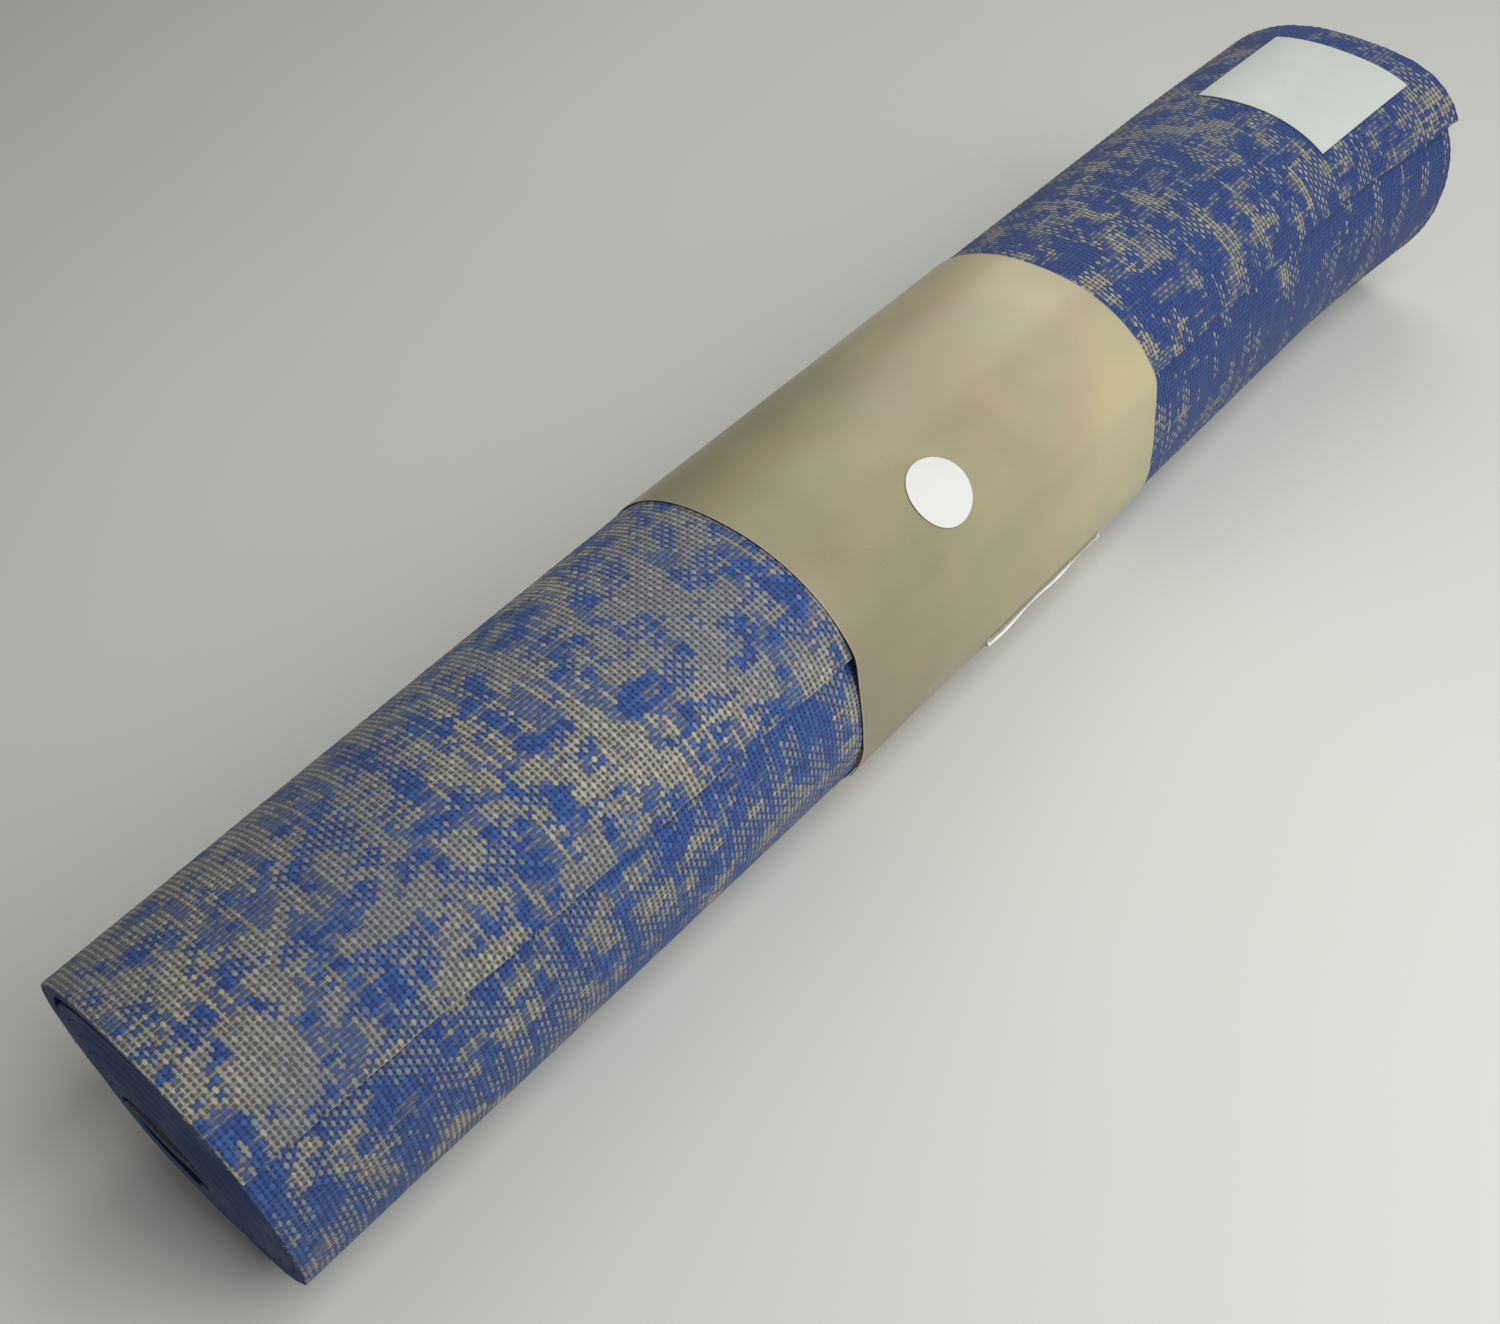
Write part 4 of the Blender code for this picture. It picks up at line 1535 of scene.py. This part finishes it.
class Film:
    """A thin film, cut flat in metres about the origin and then laid on a surface.

    Each kind names its CAD node, whose box gives its middle and its size along the roll,
    and its own place method lays the flat cut.
    """

    node: ClassVar[str]
    name: ClassVar[str]
    slot: ClassVar[Slot]
    body: ClassVar[Body] = Body.SLEEVE
    roll_middle: ClassVar[Pair] = (0.0, 0.055)
    sharp_degrees: ClassVar[float] = 40.0

    def __post_init__(self) -> None:
        """Read the film's middle and its size along the roll off the frame."""
        low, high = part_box(self.node)
        self.middle_x = (low.x + high.x) / 2.0
        self.along = high.x - low.x

    def place(self, along: Places, around: Places) -> Places:
        """Rows of x, y, z for places along and round on the flat cut."""
        raise NotImplementedError

    def lay(self, piece: Piece, thickness: float, finish: Finish) -> Piece:
        """Lay a flat cut, which is the active object, give it its thickness and dress it.

        Args:
            piece: The flat cut.
            thickness: Thickness of the film, outwards.
            finish: What makes its material.

        Returns:
            The finished film.
        """
        mesh = piece.data
        flat = read_places(mesh)
        while mesh.uv_layers:
            mesh.uv_layers.remove(mesh.uv_layers[0])
        write_map(mesh, CLOTH_MAP, flat[:, :2])
        mesh.vertices.foreach_set("co", self.place(flat[:, 0], flat[:, 1]).astype(np.float32).ravel())
        mesh.update()
        first = mesh.polygons[0]
        if np.dot(first.normal[1:], np.array(first.center)[1:] - np.array(self.roll_middle)) < 0.0:
            mesh.flip_normals()
        solid = piece.modifiers.new("Thickness", "SOLIDIFY")
        solid.thickness = thickness
        solid.offset = 1.0
        solid.use_even_offset = True
        bpy.ops.object.modifier_apply(modifier=solid.name)
        piece.name = self.name
        piece.data.name = self.name
        shade(piece, self.sharp_degrees)
        piece.data.materials.clear()
        return dress(piece, finish, self.body, self.slot, self.node)

    def rectangle(self, along: float, around: float, columns: int, rows: int) -> Piece:
        """A flat rectangle of small squares.

        Args:
            along: Size along the roll.
            around: Size round the roll.
            columns: Squares along.
            rows: Squares round.

        Returns:
            The flat cut.
        """
        clear_selection()
        bpy.ops.mesh.primitive_grid_add(x_subdivisions=columns, y_subdivisions=rows, size=1.0)
        piece = bpy.context.object
        piece.scale = (along, around, 1.0)
        bpy.ops.object.transform_apply(location=True, rotation=True, scale=True)
        return piece

    def disc(self, radius: float, corners: int, rings: int) -> Piece:
        """A flat disc with rings of faces.

        Args:
            radius: Radius of the disc.
            corners: Corners of its outline.
            rings: Rings of faces inside it.

        Returns:
            The flat cut.
        """
        clear_selection()
        bpy.ops.mesh.primitive_circle_add(vertices=corners, radius=radius, fill_type="NGON")
        piece = bpy.context.object
        bpy.ops.object.mode_set(mode="EDIT")
        bpy.ops.mesh.select_all(action="SELECT")
        for _ in range(rings):
            bpy.ops.mesh.inset(thickness=radius / (rings + 1.0), use_boundary=True)
        bpy.ops.mesh.poke()
        bpy.ops.object.mode_set(mode="OBJECT")
        return piece


@dataclass
class EndLabel(Film):
    """Square label on the outermost turn, a margin in from the far end."""

    node: ClassVar[str] = "end_label"
    name: ClassVar[str] = "end_label_film"
    slot: ClassVar[Slot] = Slot.LABEL
    body: ClassVar[Body] = Body.ROLL
    shape: RollShape
    yarns: Pair
    around: float = 0.058
    angle: float = math.radians(102.5)
    inwards: float = 0.006
    trim: float = 0.005
    lift: float = 0.0003
    thickness: float = 0.0003
    squares: int = 24

    def place(self, along: Places, around: Places) -> Places:
        """Place on the roll's face.

        Args:
            along: Places along on the flat cut.
            around: Places round on it.

        Returns:
            Rows of x, y, z.
        """
        middle = float(self.shape.length_at((self.shape.loose_angle - self.angle) / FULL_TURN))
        turn = self.shape.turn_at(middle - around)
        return self.shape.place(self.middle_x - self.inwards + along, turn, -self.lift)

    def build(self) -> Piece:
        """Build the label."""
        flat = self.rectangle(self.along - self.trim, self.around, self.squares, self.squares)
        return self.lay(flat, self.thickness, replace(LABEL, yarns=self.yarns))


@dataclass
class SleevePath:
    """The taut line round the roll on which the sleeve lies, with its lap."""

    shape: RollShape
    clearance: float = 0.0004
    paper: float = 0.0003
    lap_gap: float = 0.0003
    lap_inner: float = math.radians(195.0)
    lap_outer: float = math.radians(213.0)
    ramp: float = math.radians(8.0)
    tape_step: float = math.radians(5.0)
    samples: int = 720
    line_reach: int = 16
    tangent_reach: int = 6

    def __post_init__(self) -> None:
        """Find the hull of the outermost turn and walk round it twice, from its top."""
        hull = self.hull(self.shape.section(np.linspace(0.0, 1.0, self.samples + 1), 0.0))
        angles = np.arctan2(hull[:, 1], hull[:, 0])
        start = int(np.argmin(np.abs(np.remainder(np.unwrap(angles) - math.radians(90.0), FULL_TURN))))
        loop = np.roll(hull, -start, axis=0)
        twice = np.concatenate([loop, loop, loop[:1]])
        raw = run_lengths(twice)
        self.total = raw[len(loop)]
        self.stops = np.linspace(0.0, raw[-1], 4 * self.samples)
        line = look_up(self.stops, raw, twice)
        self.angles = np.unwrap(np.arctan2(line[:, 1], line[:, 0]))
        self.line = self.softened(line, self.line_reach)
        tangent = self.softened(np.gradient(self.line, self.stops, axis=0), self.tangent_reach)
        normal = as_rows(tangent[:, 1], -tangent[:, 0])
        self.normals = normal / np.linalg.norm(normal, axis=1)[:, None]

    def softened(self, rows: Places, reach: int) -> Places:
        """Average each row with as many neighbours before and after it as the reach.

        Args:
            rows: The rows.
            reach: Number of neighbours.

        Returns:
            The averaged rows.
        """
        padded = np.pad(rows, ((reach, reach), (0, 0)), mode="edge")
        kernel = np.ones(2 * reach + 1) / (2.0 * reach + 1.0)
        return as_rows(*(np.convolve(padded[:, axis], kernel, mode="valid") for axis in (0, 1)))

    def hull(self, points: Places) -> Places:
        """Outline of a taut band round points, anticlockwise.

        Args:
            points: One row of y, z for each point.

        Returns:
            The hull's corners.
        """
        ordered = sorted({tuple(point) for point in points})
        halves: list[Pair] = []
        for run in (ordered, ordered[::-1]):
            half: list[Pair] = []
            for point in run:
                while len(half) > 1:
                    (ay, az), (by, bz) = half[-2], half[-1]
                    if (by - ay) * (point[1] - az) - (bz - az) * (point[0] - ay) > 0.0:
                        break
                    half.pop()
                half.append(point)
            halves.extend(half[:-1])
        return np.array(halves)

    def length_at(self, angle: float) -> float:
        """Length along the path at an angle, from 90 degrees on."""
        return float(np.interp(angle, self.angles, self.stops))

    def place(self, x: Places, length: Places, lift: Places) -> Places:
        """Rows of x, y, z a length along the path, raised outwards by a lift.

        Args:
            x: Places along the roll.
            length: Lengths along the path.
            lift: Lifts outwards, or one for all.

        Returns:
            The rows, in the frame of the CAD model.
        """
        point, way = (look_up(length, self.stops, rows) for rows in (self.line, self.normals))
        point = point + way * np.asarray(lift)[..., None] + np.array(self.shape.middle)
        return np.column_stack([x, point])

    def paper_lift(self, length: Places) -> Places:
        """Lift of the paper's inner side, which rides on its own inner end over the lap.

        Args:
            length: Lengths along the path.

        Returns:
            The lifts.
        """
        first = self.length_at(self.lap_inner) + self.total
        ramp = self.length_at(self.lap_inner) - self.length_at(self.lap_inner - self.ramp)
        return self.clearance + (self.paper + self.lap_gap) * smooth((length - first + ramp) / ramp)

    def top_lift(self, length: Places) -> Places:
        """Lift of the sleeve's outer side, near the lap's outer edge and away from it.

        Args:
            length: Lengths along the path.

        Returns:
            The lifts.
        """
        edge = self.length_at(self.lap_outer)
        step = self.length_at(self.lap_outer + self.tape_step) - edge
        over = 1.0 - smooth((length - edge) / step)
        start = self.length_at(self.lap_inner - self.ramp)
        rise = smooth((length - start) / (self.length_at(self.lap_inner) - start))
        return self.clearance + self.paper + (self.paper + self.lap_gap) * over * rise


@dataclass
class PaperSleeve(Film):
    """Paper sleeve: one strip round the roll whose outer end laps its inner end.

    Near its two cut edges it stands off the roll in slow waves.
    """

    node: ClassVar[str] = "paper_sleeve"
    name: ClassVar[str] = "paper_sleeve_band"
    slot: ClassVar[Slot] = Slot.PAPER
    path: SleevePath
    columns: int = 48
    rows: int = 260
    wave: float = 0.00018
    wave_start: float = 0.07
    wave_ease: float = 0.015
    waves: float = 61.0
    side_shift: float = 1.3

    def ends(self) -> Pair:
        """Lengths along the path at which the strip starts and ends."""
        start = self.path.length_at(self.path.lap_inner)
        return start, self.path.length_at(self.path.lap_outer) + self.path.total

    def place(self, along: Places, around: Places) -> Places:
        """Place on the taut path.

        Args:
            along: Places along on the flat cut.
            around: Places round on it.

        Returns:
            Rows of x, y, z.
        """
        length = sum(self.ends()) / 2.0 + around
        edge = smooth((np.abs(along) - self.wave_start) / self.wave_ease)
        wave = 1.0 + np.sin(length * self.waves + np.sign(along) * self.side_shift)
        lift = self.path.paper_lift(length) + self.wave * edge * wave / 2.0
        return self.path.place(self.middle_x + along, length, lift)

    def build(self) -> Piece:
        """Build the sleeve.

        Returns:
            The finished film.
        """
        start, end = self.ends()
        flat = self.rectangle(self.along, end - start, self.columns, self.rows)
        return self.lay(flat, self.path.paper, PaperFinish())


@dataclass
class ClosureTape(Film):
    """Clear tape across the sleeve's lap, stepping down over its outer end in a ridge."""

    node: ClassVar[str] = "closure_tape"
    name: ClassVar[str] = "closure_tape_film"
    slot: ClassVar[Slot] = Slot.TAPE
    path: SleevePath
    width: float = 0.03
    start_angle: float = math.radians(204.0)
    lift: float = 0.00022
    thickness: float = 0.0002
    ridge: float = 0.0011
    ridge_place: float = -0.012
    ridge_reach: float = 0.0009
    uneven: float = 0.3
    waves: float = 190.0
    slope: float = 9.0
    columns: int = 60
    rows: int = 100

    def place(self, along: Places, around: Places) -> Places:
        """Place on the sleeve's outer side, with the ridge.

        Args:
            along: Places along on the flat cut.
            around: Places round on it.

        Returns:
            Rows of x, y, z.
        """
        length = self.path.length_at(self.start_angle) + self.width / 2.0 + around
        fold = np.exp(-((around - self.ridge_place) / self.ridge_reach) ** 2)
        uneven = 1.0 + self.uneven * np.sin(along * self.waves) - along * self.slope
        lift = self.path.top_lift(length) + self.lift + self.ridge * fold * uneven
        return self.path.place(self.middle_x + along, length, lift)

    def build(self) -> Piece:
        """Build the tape."""
        flat = self.rectangle(self.along, self.width, self.columns, self.rows)
        return self.lay(flat, self.thickness, TapeFinish())


@dataclass
class RoundSticker(Film):
    """Round sticker on the upper front of the sleeve."""

    node: ClassVar[str] = "round_sticker"
    name: ClassVar[str] = "round_sticker_film"
    slot: ClassVar[Slot] = Slot.STICKER
    path: SleevePath
    radius: float = 0.012
    angle: float = math.radians(131.0)
    lift: float = 0.00035
    thickness: float = 0.0002
    corners: int = 96
    rings: int = 5

    def place(self, along: Places, around: Places) -> Places:
        """Place on the sleeve's outer side."""
        lift = self.path.clearance + self.path.paper + self.lift
        return self.path.place(self.middle_x + along, self.path.length_at(self.angle) + around, lift)

    def build(self) -> Piece:
        """Build the sticker."""
        return self.lay(self.disc(self.radius, self.corners, self.rings), self.thickness, STICKER)


# Studio


@dataclass(frozen=True)
class Lamp:
    """A flat lamp, of a width, a height and a power in watts, that points at a target."""

    name: str
    place: Triple
    target: Triple
    size: Pair
    power: float

    def hang(self) -> None:
        """Make the lamp and link it to the scene."""
        data = bpy.data.lights.new(self.name, "AREA")
        data.shape = "RECTANGLE"
        data.size, data.size_y = self.size
        data.energy = self.power
        lamp = link_new(self.name, data)
        lamp.location = self.place
        aim = Vector(self.target) - Vector(self.place)
        lamp.rotation_euler = aim.to_track_quat("-Z", "Y").to_euler()


@dataclass
class Studio:
    """Camera at the photograph's place, pale floor, key lamp and window, and an even sky."""

    image_width: float = 1500.0
    focal_pixels: float = 1655.4
    sensor: float = 36.0
    clip_start: float = 0.01
    yaw: float = 0.766
    pitch: float = 0.7984
    tilt: float = -0.1206
    camera_place: Triple = (-0.3446, -0.2833, 0.4425)
    floor_size: float = 8.0
    sky: tuple[float, ...] = (0.97, 0.98, 0.95, 1.0)
    sky_strength: float = 0.19
    lamps: tuple[Lamp, ...] = (
        Lamp("key", (0.03, -0.72, 0.84), (0.0, 0.0, 0.0), (0.7, 1.15), 12.0),
        Lamp("window", (0.88, 0.42, 0.98), (0.0, 0.0, 0.1), (0.7, 1.0), 3.5))

    def set_camera(self) -> None:
        """Place the camera, turned by its yaw and pitch and then tilted sideways."""
        forward = Vector((math.sin(self.yaw) * math.cos(self.pitch),
                          math.cos(self.yaw) * math.cos(self.pitch), -math.sin(self.pitch)))
        level = Vector((math.cos(self.yaw), -math.sin(self.yaw), 0.0))
        upright = level.cross(forward)
        right = level * math.cos(self.tilt) + upright * math.sin(self.tilt)
        up = upright * math.cos(self.tilt) - level * math.sin(self.tilt)
        data = bpy.data.cameras.new("camera")
        data.sensor_width = self.sensor
        data.lens = self.focal_pixels * self.sensor / self.image_width
        data.clip_start = self.clip_start
        camera = link_new("camera", data)
        turn = Matrix((right, up, -forward)).transposed().to_4x4()
        camera.matrix_world = Matrix.Translation(self.camera_place) @ turn
        bpy.context.scene.camera = camera

    def lay_floor(self) -> None:
        """Lay the floor."""
        clear_selection()
        bpy.ops.mesh.primitive_plane_add(size=self.floor_size)
        floor = bpy.context.object
        floor.name = "floor"
        floor.data.name = "floor"
        floor.data.materials.append(FLOOR.make())

    def set_sky(self) -> None:
        """Fill the shadows with an even pale sky."""
        world = bpy.data.worlds.new("studio")
        world.use_nodes = True
        background = world.node_tree.nodes["Background"]
        background.inputs["Color"].default_value = self.sky
        background.inputs["Strength"].default_value = self.sky_strength
        bpy.context.scene.world = world

    def build(self) -> None:
        """Set up camera, floor, lamps and sky, and the plain view settings."""
        bpy.context.scene.view_settings.view_transform = "Standard"
        self.set_camera()
        self.lay_floor()
        for lamp in self.lamps:
            lamp.hang()
        self.set_sky()


def main() -> None:
    """Build the studio, the mat and its sleeve, in that order."""
    logging.basicConfig(level=logging.INFO, format="%(message)s")
    Studio().build()
    shape = RollShape()
    LOG.info("turns: %.4f, eye's middle: %.5f, %.5f", shape.turns, *shape.middle)

    face = WovenFace(shape)
    woven = face.build()
    foam = FoamBase(shape).build()
    threads = ThreadEnds(shape).build()
    label = EndLabel(shape, (face.pitch_along, face.pitch_round)).build()
    path = SleevePath(shape)
    sleeve = PaperSleeve(path).build()
    tape = ClosureTape(path).build()
    sticker = RoundSticker(path).build()

    for piece in (woven, foam, threads, label, sleeve, tape, sticker):
        LOG.info("%s: %d faces", piece.name, len(piece.data.polygons))


if __name__ == "__main__":
    main()
